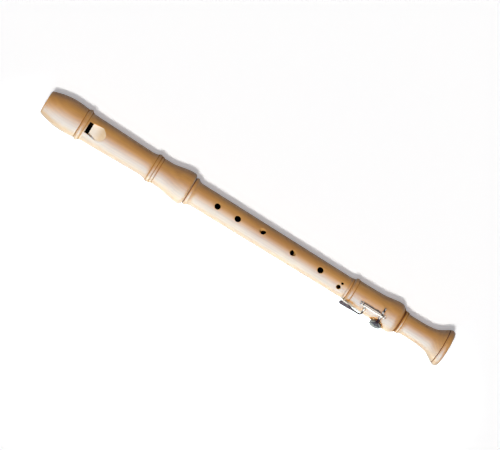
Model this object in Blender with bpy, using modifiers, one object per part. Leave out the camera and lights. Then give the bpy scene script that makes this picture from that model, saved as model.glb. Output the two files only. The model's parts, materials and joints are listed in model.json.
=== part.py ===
"""A tenor recorder in three turned joints, with one key for the right little finger.

It lies along X with its finger holes up: the tip of the beak is at -X and the bell at +X. Lengths are in
metres and angles in degrees. A place on a joint is counted along X from that joint's upper end, and an angle
round the bore from the top towards the key side (-Y).
"""

import math

import bmesh
import bpy
from mathutils import Vector

# Shared values: sides of a turned joint and of small round pieces, and the gap left where two pieces touch.
SIDES = 40
CUP_SIDES = 24
SMALL_SIDES = 16
GAP = 0.0003

# How far a cutter runs past what it cuts, where its end doesn't show.
CUT_MARGIN = 0.0020

# Fine turned grooves.
GROOVE_WIDTH = 0.0011
GROOVE_DEPTH = 0.0007

# Head joint, from the tip of the beak to the mouth of its socket.
TIP_RADIUS = 0.0176
TIP_ROUNDING = 0.0018
TIP_SLOPE = 0.37
BEAK_SWELL_LENGTH = 0.0370
BEAK_SWELL_RADIUS = 0.0239
BEAK_TAPER_LENGTH = 0.0180
BEAK_END_RADIUS = 0.0226
BEAK_RING_LENGTH = 0.0076
BEAK_RING_RADIUS = 0.0243
BEAK_RING_COVE = 0.0046
HEAD_BARREL_LENGTH = 0.0984
HEAD_BARREL_RADIUS = 0.0207
HEAD_WAIST_RADIUS = 0.01835
HEAD_COVE_LENGTH = 0.0108
HEAD_RING_LENGTH = 0.0092
HEAD_RING_RADIUS = 0.0219
HEAD_RING_STEP = 0.0008
SOCKET_NECK_LENGTH = 0.0090
SOCKET_NECK_RADIUS = 0.01975
SOCKET_FLARE_LENGTH = 0.0320
SOCKET_OUTER_RADIUS = 0.0246
SOCKET_LIP_LENGTH = 0.0053
SOCKET_ROUNDING = 0.0040
HEAD_BORE_RADIUS = 0.0123

# Beak cut, windway, window and labium. Heights are counted from the bore's axis.
BEAK_CUT_LENGTH = 0.0500
BEAK_TIP_DROP = 0.0020
BEAK_CUT_SIDES = 96
WINDWAY_WIDTH = 0.0152
WINDWAY_EXIT_HEIGHT = 0.0011
WINDWAY_ENTRY_HEIGHT = 0.0018
WINDWAY_RISE = 0.0008
WINDOW_SETBACK = 0.0042
WINDOW_LENGTH = 0.0047
EDGE_HEIGHT = 0.0129
EDGE_THICKNESS = 0.0003
EDGE_OVERLAP = 0.0001
EDGE_BELOW_ROOF = 0.0005
RAMP_LENGTH = 0.0238
RAMP_FLARE = 0.16
UNDERCUT_LENGTH = 0.0160

# Tenons and their cork sleeves.
CORK_THICKNESS = 0.0012
CORK_PROUD = 0.0001
CORK_MARGIN = 0.0042
TENON_CHAMFER = 0.0008
UPPER_TENON_LENGTH = 0.0285
UPPER_TENON_RADIUS = 0.0154
LOWER_TENON_LENGTH = 0.0220
LOWER_TENON_RADIUS = 0.0129
SOCKET_FLOOR_GAP = 0.0008

# Middle joint, from the face of its ring to the shoulder of its lower tenon.
MIDDLE_RING_RADIUS = 0.0213
MIDDLE_RING_LENGTH = 0.0056
MIDDLE_COVE_LENGTH = 0.0059
MIDDLE_BARREL_LENGTH = 0.2446
MIDDLE_TOP_RADIUS = 0.01745
MIDDLE_END_RADIUS = 0.01585
MIDDLE_BORE_TOP = 0.0120
MIDDLE_BORE_END = 0.0086

# Finger holes: distance up from the lower shoulder, radius, turn from the line of holes towards the key side,
# and slant of the drilling, positive where it runs towards the bell on its way in.
HOLE_LINE_ANGLE = -7.0
HOLES = {
    "thumb": (0.2297, 0.00330, 180.0, 0.0),
    "first": (0.2117, 0.00410, 0.0, 0.0),
    "second": (0.1791, 0.00450, 0.0, 0.0),
    "third": (0.1410, 0.00385, -12.2, 24.0),
    "fourth": (0.0896, 0.00390, 0.0, -22.0),
    "fifth": (0.0450, 0.00440, 0.0, 0.0),
    "sixth_large": (0.0117, 0.00310, 24.7, 0.0),
    "sixth_small": (0.0094, 0.00185, -1.5, 0.0),
}

# Foot joint, from the face of its socket to the bell.
FOOT_LIP_LENGTH = 0.0027
FOOT_LIP_RADIUS = 0.0168
FOOT_RING_RISE = 0.0027
FOOT_RING_LENGTH = 0.0033
FOOT_RING_RADIUS = 0.02015
FOOT_COVE_LENGTH = 0.0038
FOOT_BARREL_RADIUS = 0.0189
FOOT_BARREL_LENGTH = 0.0375
FOOT_BARREL_SWELL = 0.0006
BULB_RISE_LENGTH = 0.0265
BULB_RADIUS = 0.02285
BULB_FALL_LENGTH = 0.0098
BULB_END_RADIUS = 0.0176
BULB_RING_LENGTH = 0.0067
BULB_RING_RADIUS = 0.0166
STEM_LENGTH = 0.0190
STEM_RADIUS = 0.01495
FLARE_LENGTH = 0.0205
FLARE_RADIUS = 0.0164
BELL_RISE_LENGTH = 0.0198
BELL_STEP_RADIUS = 0.0264
BELL_RIM_LENGTH = 0.0051
BELL_RADIUS = 0.0280
BELL_END_ROUNDING = 0.0046
BELL_FACE_RADIUS = 0.0242
FOOT_BORE_TOP = 0.0085
FOOT_BORE_END = 0.0075
BELL_MOUTH_RADIUS = 0.0098
BELL_MOUTH_LENGTH = 0.0140

# Key hole: a flat-bottomed recess with a raised seat round the hole.
KEY_HOLE_ALONG = 0.0590
KEY_HOLE_RADIUS = 0.0046
KEY_HOLE_ANGLE = 72.0
RECESS_RADIUS = 0.0109
RECESS_DEPTH = 0.0051
SEAT_HEIGHT = 0.0012
SEAT_RADIUS = 0.0067
SEAT_BEVEL = 0.0006

# Posts and hinge.
HINGE_ANGLE = 18.0
LOWER_POST_SETBACK = 0.0044
POST_SPACING = 0.0353
POST_RISE = 0.0023
POST_BALL_RADIUS = 0.0022
POST_NECK_RADIUS = 0.0013
POST_FLANGE_RADIUS = 0.0025
POST_FLANGE_THICKNESS = 0.0006
POST_INSET = 0.0009
POST_STEM_LENGTH = 0.0055
POST_STEM_RADIUS = 0.0012
HINGE_ROD_RADIUS = 0.0009
HINGE_HEAD_RADIUS = 0.0015
HINGE_HEAD_LENGTH = 0.0010
SLOT_WIDTH = 0.0005
SLOT_DEPTH = 0.0005
TUBE_RADIUS = 0.0021

# Key levers. The key rests open, turned back from its closed place by KEY_OPENING.
KEY_OPENING = 12.0
PAD_RADIUS = 0.0078
PAD_THICKNESS = 0.0022
BACKING_THICKNESS = 0.0005
CUP_WALL = 0.0009
CUP_RIM_DEPTH = 0.0028
CUP_ROUNDING = 0.0008
PAD_ARM_WIDTH = 0.0032
PAD_ARM_THICKNESS = 0.0014
TAIL_LENGTH = 0.0116
TAIL_WIDTH = 0.0024
TAIL_THICKNESS = 0.0010
STOP_CORK_RADIUS = 0.0012
STOP_CORK_THICKNESS = 0.0008
TOUCH_ARM_SETBACK = 0.0038
TOUCH_ARM_RADIUS = 0.0013
TOUCH_PLATE_ANGLE = 54.0
TOUCH_PLATE_LENGTH = 0.0295
TOUCH_PLATE_WIDTH = 0.0126
TOUCH_PLATE_NECK = 0.0030
TOUCH_PLATE_THICKNESS = 0.0012
TOUCH_CLEARANCE = 0.0006
SPRING_RADIUS = 0.00035
SPRING_LENGTH = 0.0250
CATCH_LENGTH = 0.0016
CATCH_REACH = 0.0018
CATCH_HEIGHT = 0.0012

# Places that follow from the sizes above.
HEAD_LENGTH = (
    BEAK_SWELL_LENGTH
    + BEAK_TAPER_LENGTH
    + BEAK_RING_LENGTH
    + HEAD_BARREL_LENGTH
    + HEAD_COVE_LENGTH
    + HEAD_RING_LENGTH
    + SOCKET_NECK_LENGTH
    + SOCKET_FLARE_LENGTH
    + SOCKET_LIP_LENGTH
    + SOCKET_ROUNDING
)
MIDDLE_LENGTH = MIDDLE_RING_LENGTH + MIDDLE_COVE_LENGTH + MIDDLE_BARREL_LENGTH
FOOT_LENGTH = (
    FOOT_LIP_LENGTH
    + FOOT_RING_RISE
    + FOOT_RING_LENGTH
    + FOOT_COVE_LENGTH
    + FOOT_BARREL_LENGTH
    + BULB_RISE_LENGTH
    + BULB_FALL_LENGTH
    + BULB_RING_LENGTH
    + STEM_LENGTH
    + FLARE_LENGTH
    + BELL_RISE_LENGTH
    + BELL_RIM_LENGTH
    + BELL_END_ROUNDING
)
TOTAL_LENGTH = HEAD_LENGTH + GAP + MIDDLE_LENGTH + GAP + FOOT_LENGTH
HEAD_X = -TOTAL_LENGTH / 2
MIDDLE_X = HEAD_X + HEAD_LENGTH + GAP
FOOT_X = MIDDLE_X + MIDDLE_LENGTH + GAP
AXIS_Z = BELL_RADIUS * math.cos(math.pi / SIDES)
WINDOW_ALONG = BEAK_SWELL_LENGTH + BEAK_TAPER_LENGTH + BEAK_RING_LENGTH + WINDOW_SETBACK

# Colour, roughness and metallic value of each finish.
PALE_WOOD = ("pale wood", (0.80, 0.62, 0.40, 1.0), 0.30, 0.0)
CEDAR = ("cedar", (0.55, 0.30, 0.17, 1.0), 0.70, 0.0)
CORK = ("cork", (0.62, 0.43, 0.26, 1.0), 0.90, 0.0)
SILVER = ("nickel silver", (0.78, 0.76, 0.72, 1.0), 0.18, 1.0)
STEEL = ("blued steel", (0.30, 0.32, 0.38, 1.0), 0.30, 1.0)
LEATHER = ("pad leather", (0.80, 0.66, 0.48, 1.0), 0.75, 0.0)
CARD = ("card", (0.55, 0.45, 0.34, 1.0), 0.90, 0.0)


def clear_scene():
    for obj in list(bpy.data.objects):
        bpy.data.objects.remove(obj)


def new_collection(name):
    collection = bpy.data.collections.new(name)
    bpy.context.scene.collection.children.link(collection)
    return collection


def add_mesh(name, shape, collection):
    """An object that holds the bmesh, which is freed."""
    mesh = bpy.data.meshes.new(name)
    shape.to_mesh(mesh)
    shape.free()
    obj = bpy.data.objects.new(name, mesh)
    collection.objects.link(obj)
    return obj


def add_empty(name, location, rotation=(0.0, 0.0, 0.0)):
    empty = bpy.data.objects.new(name, None)
    empty.location = location
    empty.rotation_euler = rotation
    PARTS.objects.link(empty)
    return empty


def finish(obj, look):
    """Gives the object its own Principled material."""
    title, colour, roughness, metallic = look
    material = bpy.data.materials.new(f"{obj.name} {title}")
    material.use_nodes = True
    shader = material.node_tree.nodes["Principled BSDF"]
    shader.inputs["Base Color"].default_value = colour
    shader.inputs["Roughness"].default_value = roughness
    shader.inputs["Metallic"].default_value = metallic
    obj.data.materials.append(material)
    return obj


def as_cutter(obj):
    obj.hide_render = True
    obj.display_type = "WIRE"
    return obj


def cut(obj, cutter):
    boolean = obj.modifiers.new(f"cut by {cutter.name}", "BOOLEAN")
    boolean.operation = "DIFFERENCE"
    boolean.object = cutter


def turned(name, outline, collection, sides, closed=False):
    """A turned piece round its own Z. The outline is (height, radius) points that run down the outer side.
    closed joins its last point to its first, as on a tube. Flat sides face the four quarters."""
    shape = bmesh.new()
    across = math.cos(math.pi / sides)
    aside = math.sin(math.pi / sides)
    points = [shape.verts.new((radius * across, radius * aside, height)) for height, radius in outline]
    for here, there in zip(points, points[1:]):
        shape.edges.new((here, there))
    if closed:
        shape.edges.new((points[-1], points[0]))
    obj = add_mesh(name, shape, collection)
    screw = obj.modifiers.new("turned", "SCREW")
    screw.axis = "Z"
    screw.angle = 2 * math.pi
    screw.steps = sides
    screw.render_steps = sides
    screw.use_merge_vertices = True
    screw.merge_threshold = 0.00001
    return obj


def turned_joint(name, outline, x):
    """One joint of the instrument, from an outline that runs from its upper end to its lower end outside, and
    back inside."""
    joint = turned(name, outline[::-1], PARTS, SIDES, closed=True)
    joint.location = (x, 0, AXIS_Z)
    joint.rotation_euler = (0, math.radians(90), 0)
    return finish(joint, PALE_WOOD)


def hexahedron(name, corners, collection):
    """A box whose corners are moved: corners maps the signs of a corner's x, y and z to its place."""
    shape = bmesh.new()
    bmesh.ops.create_cube(shape, size=2)
    for corner in shape.verts:
        signs = tuple(1 if value > 0 else -1 for value in corner.co)
        corner.co = corners(*signs)
    return add_mesh(name, shape, collection)


def cylinder(name, radius, length, collection, sides=SMALL_SIDES):
    """A cylinder round its own Z, centred on its origin."""
    shape = bmesh.new()
    bmesh.ops.create_cone(
        shape, cap_ends=True, segments=sides, radius1=radius, radius2=radius, depth=length
    )
    return add_mesh(name, shape, collection)


def strap(name, path, width, thickness):
    """A flat bar along a path of (y, z) points, as wide as width along X."""
    shape = bmesh.new()
    points = [shape.verts.new((-width / 2, y, z)) for y, z in path]
    edges = [shape.edges.new(pair) for pair in zip(points, points[1:])]
    pulled = bmesh.ops.extrude_edge_only(shape, edges=edges)
    moved = [item for item in pulled["geom"] if isinstance(item, bmesh.types.BMVert)]
    bmesh.ops.translate(shape, verts=moved, vec=(width, 0, 0))
    bmesh.ops.recalc_face_normals(shape, faces=shape.faces)
    obj = add_mesh(name, shape, PARTS)
    solid = obj.modifiers.new("thickness", "SOLIDIFY")
    solid.thickness = thickness
    solid.offset = 0
    return finish(obj, SILVER)


def wire(name, path, radius, look):
    """A round bar along a path, made a mesh so that it can be cut."""
    curve = bpy.data.curves.new(name, "CURVE")
    curve.dimensions = "3D"
    curve.bevel_depth = radius
    curve.bevel_resolution = 2
    curve.use_fill_caps = True
    line = curve.splines.new("POLY")
    line.points.add(len(path) - 1)
    for point, place in zip(line.points, path):
        point.co = (*place, 1)
    drawn = bpy.data.objects.new(name + " drawn", curve)
    PARTS.objects.link(drawn)
    bpy.context.view_layer.update()
    evaluated = drawn.evaluated_get(bpy.context.evaluated_depsgraph_get())
    mesh = bpy.data.meshes.new_from_object(evaluated)
    shape = bmesh.new()
    shape.from_mesh(mesh)
    bmesh.ops.remove_doubles(shape, verts=shape.verts, dist=0.00001)
    obj = add_mesh(name, shape, PARTS)
    obj.matrix_world = drawn.matrix_world
    bpy.data.objects.remove(drawn)
    return finish(obj, look)


def sweep(start, start_slope, end, end_slope, steps):
    """Points of a smooth curve from start to end, the start left out, with the given slopes at its ends."""
    (x0, y0), (x1, y1) = start, end
    length = x1 - x0
    points = []
    for step in range(1, steps + 1):
        t = step / steps
        height = (2 * t**3 - 3 * t**2 + 1) * y0 + (3 * t**2 - 2 * t**3) * y1
        height += length * (t * (1 - t) ** 2 * start_slope - t**2 * (1 - t) * end_slope)
        points.append((x0 + t * length, height))
    return points


def arc(centre, across, up, start, end, steps):
    """Points of an elliptic arc round centre from the angle start to the angle end, the start left out."""
    points = []
    for step in range(1, steps + 1):
        angle = math.radians(start + (end - start) * step / steps)
        points.append((centre[0] + across * math.cos(angle), centre[1] + up * math.sin(angle)))
    return points


def smooth(points, steps):
    """A Catmull-Rom curve through the points, which may have two or three coordinates."""
    points = [Vector(point) for point in points]
    ends = [2 * points[0] - points[1], *points, 2 * points[-1] - points[-2]]
    path = [points[0]]
    for before, here, there, after in zip(ends, ends[1:], ends[2:], ends[3:]):
        for step in range(1, steps + 1):
            t = step / steps
            bend = 2 * before - 5 * here + 4 * there - after
            twist = 3 * here - before - 3 * there + after
            path.append(0.5 * (2 * here + (there - before) * t + bend * t**2 + twist * t**3))
    return [tuple(point) for point in path]


def groove(at, radius, end_radius):
    """A fine turned groove that starts at a point already drawn: its floor and its far edge."""
    floor = min(radius, end_radius) - GROOVE_DEPTH
    return [(at + GROOVE_WIDTH / 2, floor), (at + GROOVE_WIDTH, end_radius)]


def radius_at(outline, along):
    """The outside radius of a turned outline at a place along it."""
    for (x0, r0), (x1, r1) in zip(outline, outline[1:]):
        if x0 <= along <= x1 and x1 > x0:
            return r0 + (r1 - r0) * (along - x0) / (x1 - x0)
    raise ValueError(f"nothing at {along}")


def round_the_bore(angle, radius):
    """The y and z of a place round the bore, counted from its axis."""
    return (-radius * math.sin(math.radians(angle)), radius * math.cos(math.radians(angle)))


def head_outside():
    points = [(0, TIP_RADIUS - TIP_ROUNDING)]
    points += arc((TIP_ROUNDING, TIP_RADIUS - TIP_ROUNDING), TIP_ROUNDING, TIP_ROUNDING, 180, 90, 3)
    along = BEAK_SWELL_LENGTH
    points += sweep(points[-1], TIP_SLOPE, (along, BEAK_SWELL_RADIUS), 0, 6)
    along += BEAK_TAPER_LENGTH
    points += sweep(points[-1], 0, (along, BEAK_END_RADIUS), -0.12, 3)

    ring_start = along
    along += BEAK_RING_LENGTH
    shoulder = (BEAK_END_RADIUS + BEAK_RING_RADIUS) / 2 - GROOVE_DEPTH
    points += groove(ring_start, BEAK_END_RADIUS, shoulder)
    points += sweep(points[-1], 0.9, (ring_start + 0.66 * BEAK_RING_LENGTH, BEAK_RING_RADIUS), 0, 3)
    ring_foot = (HEAD_BARREL_RADIUS + BEAK_RING_RADIUS) / 2
    points += sweep(points[-1], 0, (along, ring_foot), -1.1, 3)
    points += sweep(points[-1], -0.8, (along + BEAK_RING_COVE, HEAD_BARREL_RADIUS), 0, 3)

    along += HEAD_BARREL_LENGTH
    points += sweep(points[-1], -0.02, (along, HEAD_WAIST_RADIUS), -0.01, 4)
    along += HEAD_COVE_LENGTH
    points += sweep(points[-1], 0, (along, HEAD_RING_RADIUS - HEAD_RING_STEP), 0.75, 4)

    ring_start = along
    along += HEAD_RING_LENGTH
    crest = (ring_start + 0.13 * HEAD_RING_LENGTH, HEAD_RING_RADIUS)
    points += sweep(points[-1], 0.75, crest, 0, 2)
    first_groove = (ring_start + 0.42 * HEAD_RING_LENGTH, HEAD_RING_RADIUS - HEAD_RING_STEP)
    points += sweep(crest, 0, first_groove, -0.35, 2)
    points += groove(*first_groove, first_groove[1])
    second_groove = (along - GROOVE_WIDTH, SOCKET_NECK_RADIUS + HEAD_RING_STEP / 2)
    points += sweep(points[-1], 0, second_groove, -0.4, 2)
    points += groove(*second_groove, SOCKET_NECK_RADIUS)

    along += SOCKET_NECK_LENGTH
    points.append((along, SOCKET_NECK_RADIUS))
    along += SOCKET_FLARE_LENGTH
    points += sweep(points[-1], 0, (along, SOCKET_OUTER_RADIUS), 0.05, 6)
    along += SOCKET_LIP_LENGTH
    points.append((along, SOCKET_OUTER_RADIUS))
    corner = (along, SOCKET_OUTER_RADIUS - SOCKET_ROUNDING)
    points += arc(corner, SOCKET_ROUNDING, SOCKET_ROUNDING, 90, 0, 4)
    return points


def socket_radius(tenon_radius):
    return tenon_radius + CORK_PROUD + GAP


def make_head_joint():
    mouth = socket_radius(UPPER_TENON_RADIUS)
    floor = HEAD_LENGTH - UPPER_TENON_LENGTH - SOCKET_FLOOR_GAP
    inside = [(HEAD_LENGTH, mouth), (floor, mouth), (floor, HEAD_BORE_RADIUS), (0, HEAD_BORE_RADIUS)]
    head = turned_joint("head_joint", head_outside() + inside, HEAD_X)
    cut(head, BEAK_CUTTER)
    cut(head, make_windway_cutter())
    cut(head, make_window_cutter())
    cut(head, make_ramp_cutter())
    cut(head, make_undercut_cutter())


def make_beak_cutter():
    """A drum across the instrument whose side leaves the hollow curve at the back of the beak."""
    depth = BEAK_SWELL_RADIUS - BEAK_TIP_DROP
    radius = (BEAK_CUT_LENGTH**2 + depth**2) / (2 * depth)
    cutter = cylinder("beak_cutter", radius, 4 * BEAK_SWELL_RADIUS, CUTTERS, sides=BEAK_CUT_SIDES)
    cutter.rotation_euler = (math.radians(90), 0, 0)
    cutter.location = (HEAD_X, 0, AXIS_Z - BEAK_TIP_DROP - radius)
    return as_cutter(cutter)


def windway_roof(along):
    """The height of the windway's roof over the bore's axis: it drops from the tip to the window."""
    return EDGE_HEIGHT + EDGE_BELOW_ROOF + WINDWAY_RISE * (1 - along / WINDOW_ALONG)


def windway_floor(along):
    share = along / WINDOW_ALONG
    return windway_roof(along) - WINDWAY_ENTRY_HEIGHT * (1 - share) - WINDWAY_EXIT_HEIGHT * share


def make_windway_cutter():
    low = HEAD_BORE_RADIUS / 2

    def corner(x, y, z):
        along = -CUT_MARGIN if x < 0 else WINDOW_ALONG + WINDOW_LENGTH / 2
        height = windway_roof(along) if z > 0 else low
        return (HEAD_X + along, y * WINDWAY_WIDTH / 2, AXIS_Z + height)

    return as_cutter(hexahedron("windway_cutter", corner, CUTTERS))


def make_window_cutter():
    low = HEAD_BORE_RADIUS / 2
    high = BEAK_RING_RADIUS + CUT_MARGIN

    def corner(x, y, z):
        along = WINDOW_ALONG if x < 0 else WINDOW_ALONG + WINDOW_LENGTH
        return (HEAD_X + along, y * WINDWAY_WIDTH / 2, AXIS_Z + (high if z > 0 else low))

    return as_cutter(hexahedron("window_cutter", corner, CUTTERS))


def make_ramp_cutter():
    """The sloping cut in front of the labium's edge, which widens as it climbs out of the wood."""
    edge = WINDOW_ALONG + WINDOW_LENGTH
    surface = radius_at(head_outside(), edge + RAMP_LENGTH)
    slope = (surface - EDGE_HEIGHT) / RAMP_LENGTH
    high = BEAK_RING_RADIUS + CUT_MARGIN

    def corner(x, y, z):
        run = -EDGE_OVERLAP if x < 0 else 1.5 * RAMP_LENGTH
        width = WINDWAY_WIDTH / 2 + RAMP_FLARE * run
        height = EDGE_HEIGHT + slope * run
        return (HEAD_X + edge + run, y * width, AXIS_Z + (height + high if z > 0 else height))

    return as_cutter(hexahedron("ramp_cutter", corner, CUTTERS))


def make_undercut_cutter():
    """The flat cut under the labium, which runs out into the bore."""
    edge = WINDOW_ALONG + WINDOW_LENGTH
    bore_side = math.sqrt(HEAD_BORE_RADIUS**2 - (WINDWAY_WIDTH / 2) ** 2)
    low = HEAD_BORE_RADIUS / 2

    def corner(x, y, z):
        along = edge - WINDOW_LENGTH / 2 if x < 0 else edge + UNDERCUT_LENGTH
        top = EDGE_HEIGHT - EDGE_THICKNESS if x < 0 else bore_side - GAP
        return (HEAD_X + along, y * WINDWAY_WIDTH / 2, AXIS_Z + (top if z > 0 else low))

    return as_cutter(hexahedron("undercut_cutter", corner, CUTTERS))


def make_block():
    """The cedar plug: a round body with a raised bed that is the windway's floor."""
    radius = HEAD_BORE_RADIUS - GAP
    block = turned("block", [(WINDOW_ALONG, 0), (WINDOW_ALONG, radius), (0, radius), (0, 0)], PARTS, SIDES)
    block.rotation_euler = (0, math.radians(90), 0)
    block.location = (HEAD_X, 0, AXIS_Z)

    def corner(x, y, z):
        along = 0 if x < 0 else WINDOW_ALONG
        height = windway_floor(along) if z > 0 else 0
        return (HEAD_X + along, y * (WINDWAY_WIDTH / 2 - GAP), AXIS_Z + height)

    bed = as_cutter(hexahedron("block_bed", corner, CUTTERS))
    union = block.modifiers.new("bed", "BOOLEAN")
    union.operation = "UNION"
    union.object = bed
    cut(block, BEAK_CUTTER)
    finish(block, CEDAR)


def tenon(shoulder, length, radius, bore, away):
    """The outline of a tenon from its shoulder to its bore. away is -1 for the upper one, 1 for the lower."""
    recess = cork_inner(radius) - GAP
    cork_start = shoulder + away * CORK_MARGIN
    cork_end = shoulder + away * (length - CORK_MARGIN)
    end = shoulder + away * length
    return [
        (shoulder, radius),
        (cork_start, radius),
        (cork_start, recess),
        (cork_end, recess),
        (cork_end, radius),
        (end - away * TENON_CHAMFER, radius),
        (end, radius - TENON_CHAMFER),
        (end, bore),
    ]


def cork_inner(tenon_radius):
    return tenon_radius + CORK_PROUD - CORK_THICKNESS


def make_middle_joint():
    upper = tenon(0, UPPER_TENON_LENGTH, UPPER_TENON_RADIUS, MIDDLE_BORE_TOP, -1)[::-1]
    lower = tenon(MIDDLE_LENGTH, LOWER_TENON_LENGTH, LOWER_TENON_RADIUS, MIDDLE_BORE_END, 1)
    lip = (MIDDLE_RING_RADIUS + MIDDLE_TOP_RADIUS) / 2
    outside = [(0, lip)]
    outside += sweep(outside[-1], 1.2, (0.6 * MIDDLE_RING_LENGTH, MIDDLE_RING_RADIUS), 0, 3)
    outside += sweep(outside[-1], 0, (MIDDLE_RING_LENGTH, MIDDLE_RING_RADIUS - GROOVE_WIDTH), -1.2, 2)
    cove_end = MIDDLE_RING_LENGTH + MIDDLE_COVE_LENGTH
    outside += sweep(outside[-1], -1.1, (cove_end, MIDDLE_TOP_RADIUS), 0, 4)
    outside.append((MIDDLE_LENGTH, MIDDLE_END_RADIUS))
    middle = turned_joint("middle_joint", upper + outside + lower, MIDDLE_X)
    for name, (up, radius, turn, slant) in HOLES.items():
        cut(middle, make_hole_cutter(name, up, radius, turn, slant))


def make_hole_cutter(name, up, radius, turn, slant):
    """A drill that meets the outside at the hole's place and ends inside the bore."""
    share = (MIDDLE_LENGTH - up) / MIDDLE_LENGTH
    surface = MIDDLE_TOP_RADIUS + (MIDDLE_END_RADIUS - MIDDLE_TOP_RADIUS) * share
    angle = HOLE_LINE_ANGLE + turn
    y, z = round_the_bore(angle, 1)
    lean = math.radians(slant)
    aim = Vector((-math.sin(lean), math.cos(lean) * y, math.cos(lean) * z))
    inner = -(surface - MIDDLE_BORE_END / 3) / math.cos(lean)
    outer = 3 * CUT_MARGIN
    cutter = cylinder(f"{name}_hole_cutter", radius, outer - inner, CUTTERS)
    y, z = round_the_bore(angle, surface)
    place = Vector((MIDDLE_X + MIDDLE_LENGTH - up, y, AXIS_Z + z))
    cutter.location = place + aim * (outer + inner) / 2
    cutter.rotation_euler = aim.to_track_quat("Z", "Y").to_euler()
    return as_cutter(cutter)


def make_tenon_cork(name, x, length, tenon_radius):
    """A cork sleeve in its tenon's recess."""
    outer = tenon_radius + CORK_PROUD
    inner = cork_inner(tenon_radius)
    ends = (CORK_MARGIN + GAP, length - CORK_MARGIN - GAP)
    outline = [(ends[1], outer), (ends[0], outer), (ends[0], inner), (ends[1], inner)]
    cork = turned(name, outline, PARTS, SIDES, closed=True)
    cork.location = (x, 0, AXIS_Z)
    cork.rotation_euler = (0, math.radians(90), 0)
    return finish(cork, CORK)


def foot_outside():
    points = [(0, FOOT_LIP_RADIUS - GROOVE_DEPTH)]
    along = FOOT_LIP_LENGTH
    points += sweep(points[-1], 0.5, (along - GROOVE_WIDTH, FOOT_LIP_RADIUS), 0, 2)
    points += groove(*points[-1], FOOT_LIP_RADIUS)
    along += FOOT_RING_RISE
    points += sweep(points[-1], 0.9, (along, FOOT_RING_RADIUS - GROOVE_DEPTH / 2), 0.35, 3)
    along += FOOT_RING_LENGTH
    ring_foot = (along, FOOT_RING_RADIUS - GROOVE_DEPTH)
    points += sweep(points[-1], 0.3, ring_foot, -0.5, 3)
    barrel_start = ring_foot[0] + FOOT_COVE_LENGTH
    points += groove(*ring_foot, FOOT_RING_RADIUS - 1.5 * GROOVE_DEPTH)
    points += sweep(points[-1], -0.4, (barrel_start, FOOT_BARREL_RADIUS), 0, 2)

    along = barrel_start + FOOT_BARREL_LENGTH
    points += sweep(points[-1], 0, (along, FOOT_BARREL_RADIUS + FOOT_BARREL_SWELL), 0.05, 3)
    along += BULB_RISE_LENGTH
    points += sweep(points[-1], 0.06, (along, BULB_RADIUS), 0, 5)
    along += BULB_FALL_LENGTH
    points += sweep(points[-1], 0, (along, BULB_END_RADIUS), -0.9, 4)

    ring_end = along + BULB_RING_LENGTH
    points += groove(along, BULB_RING_RADIUS, BULB_RING_RADIUS)
    points += sweep(points[-1], 0.3, (ring_end, BULB_RING_RADIUS - GROOVE_DEPTH), -0.6, 3)
    points += sweep(points[-1], -0.6, (ring_end + 0.2 * STEM_LENGTH, STEM_RADIUS), 0, 2)
    along = ring_end + STEM_LENGTH
    points.append((along, STEM_RADIUS))
    along += FLARE_LENGTH
    points += sweep(points[-1], 0, (along, FLARE_RADIUS), 0.12, 3)
    along += BELL_RISE_LENGTH
    points += sweep(points[-1], 0.12, (along, BELL_STEP_RADIUS), 0.72, 5)

    points += groove(along, BELL_STEP_RADIUS, BELL_STEP_RADIUS)
    along += BELL_RIM_LENGTH
    points += sweep(points[-1], 0.8, (along, BELL_RADIUS), 0, 3)
    end = (along, BELL_FACE_RADIUS)
    points += arc(end, BELL_END_ROUNDING, BELL_RADIUS - BELL_FACE_RADIUS, 90, 0, 4)
    return points


def make_foot_joint():
    socket = socket_radius(LOWER_TENON_RADIUS)
    floor = LOWER_TENON_LENGTH + SOCKET_FLOOR_GAP
    mouth = (FOOT_LENGTH - BELL_MOUTH_LENGTH, FOOT_BORE_END)
    inside = [(FOOT_LENGTH, BELL_MOUTH_RADIUS), mouth, (floor, FOOT_BORE_TOP), (floor, socket), (0, socket)]
    foot = turned_joint("foot_joint", foot_outside() + inside, FOOT_X)
    cut(foot, make_key_hole_cutter())
    for name, along in POST_PLACES.items():
        cut(foot, make_post_hole_cutter(name, along))


def make_key_hole_cutter():
    """One tool shape for the recess, the raised seat and the hole inside it, along the key hole's axis."""
    top = BULB_RADIUS + CUT_MARGIN
    seat = RECESS_FLOOR + SEAT_HEIGHT
    outline = [
        (top, 0),
        (top, RECESS_RADIUS),
        (RECESS_FLOOR, RECESS_RADIUS),
        (RECESS_FLOOR, SEAT_RADIUS + SEAT_BEVEL),
        (seat, SEAT_RADIUS),
        (seat, KEY_HOLE_RADIUS + SEAT_BEVEL),
        (seat - SEAT_BEVEL, KEY_HOLE_RADIUS),
        (FOOT_BORE_END / 2, KEY_HOLE_RADIUS),
        (FOOT_BORE_END / 2, 0),
    ]
    cutter = turned("key_hole_cutter", outline, CUTTERS, CUP_SIDES)
    cutter.location = (FOOT_X + KEY_HOLE_ALONG, 0, AXIS_Z)
    cutter.rotation_euler = (math.radians(KEY_HOLE_ANGLE), 0, 0)
    return as_cutter(cutter)


def post_seat(along):
    """The radius of the small flat that a post stands on."""
    return radius_at(FOOT_OUTSIDE, along) - POST_INSET


def make_post_hole_cutter(name, along):
    floor = post_seat(along)
    bottom = floor - POST_STEM_LENGTH - GAP
    top = FOOT_RING_RADIUS + POST_RISE + POST_BALL_RADIUS
    outline = [
        (top, 0),
        (top, POST_FLANGE_RADIUS + GAP),
        (floor, POST_FLANGE_RADIUS + GAP),
        (floor, POST_STEM_RADIUS + GAP),
        (bottom, POST_STEM_RADIUS + GAP),
        (bottom, 0),
    ]
    cutter = turned(f"{name}_hole_cutter", outline, CUTTERS, SMALL_SIDES)
    cutter.location = (FOOT_X + along, 0, AXIS_Z)
    cutter.rotation_euler = (math.radians(HINGE_ANGLE), 0, 0)
    return as_cutter(cutter)


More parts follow.
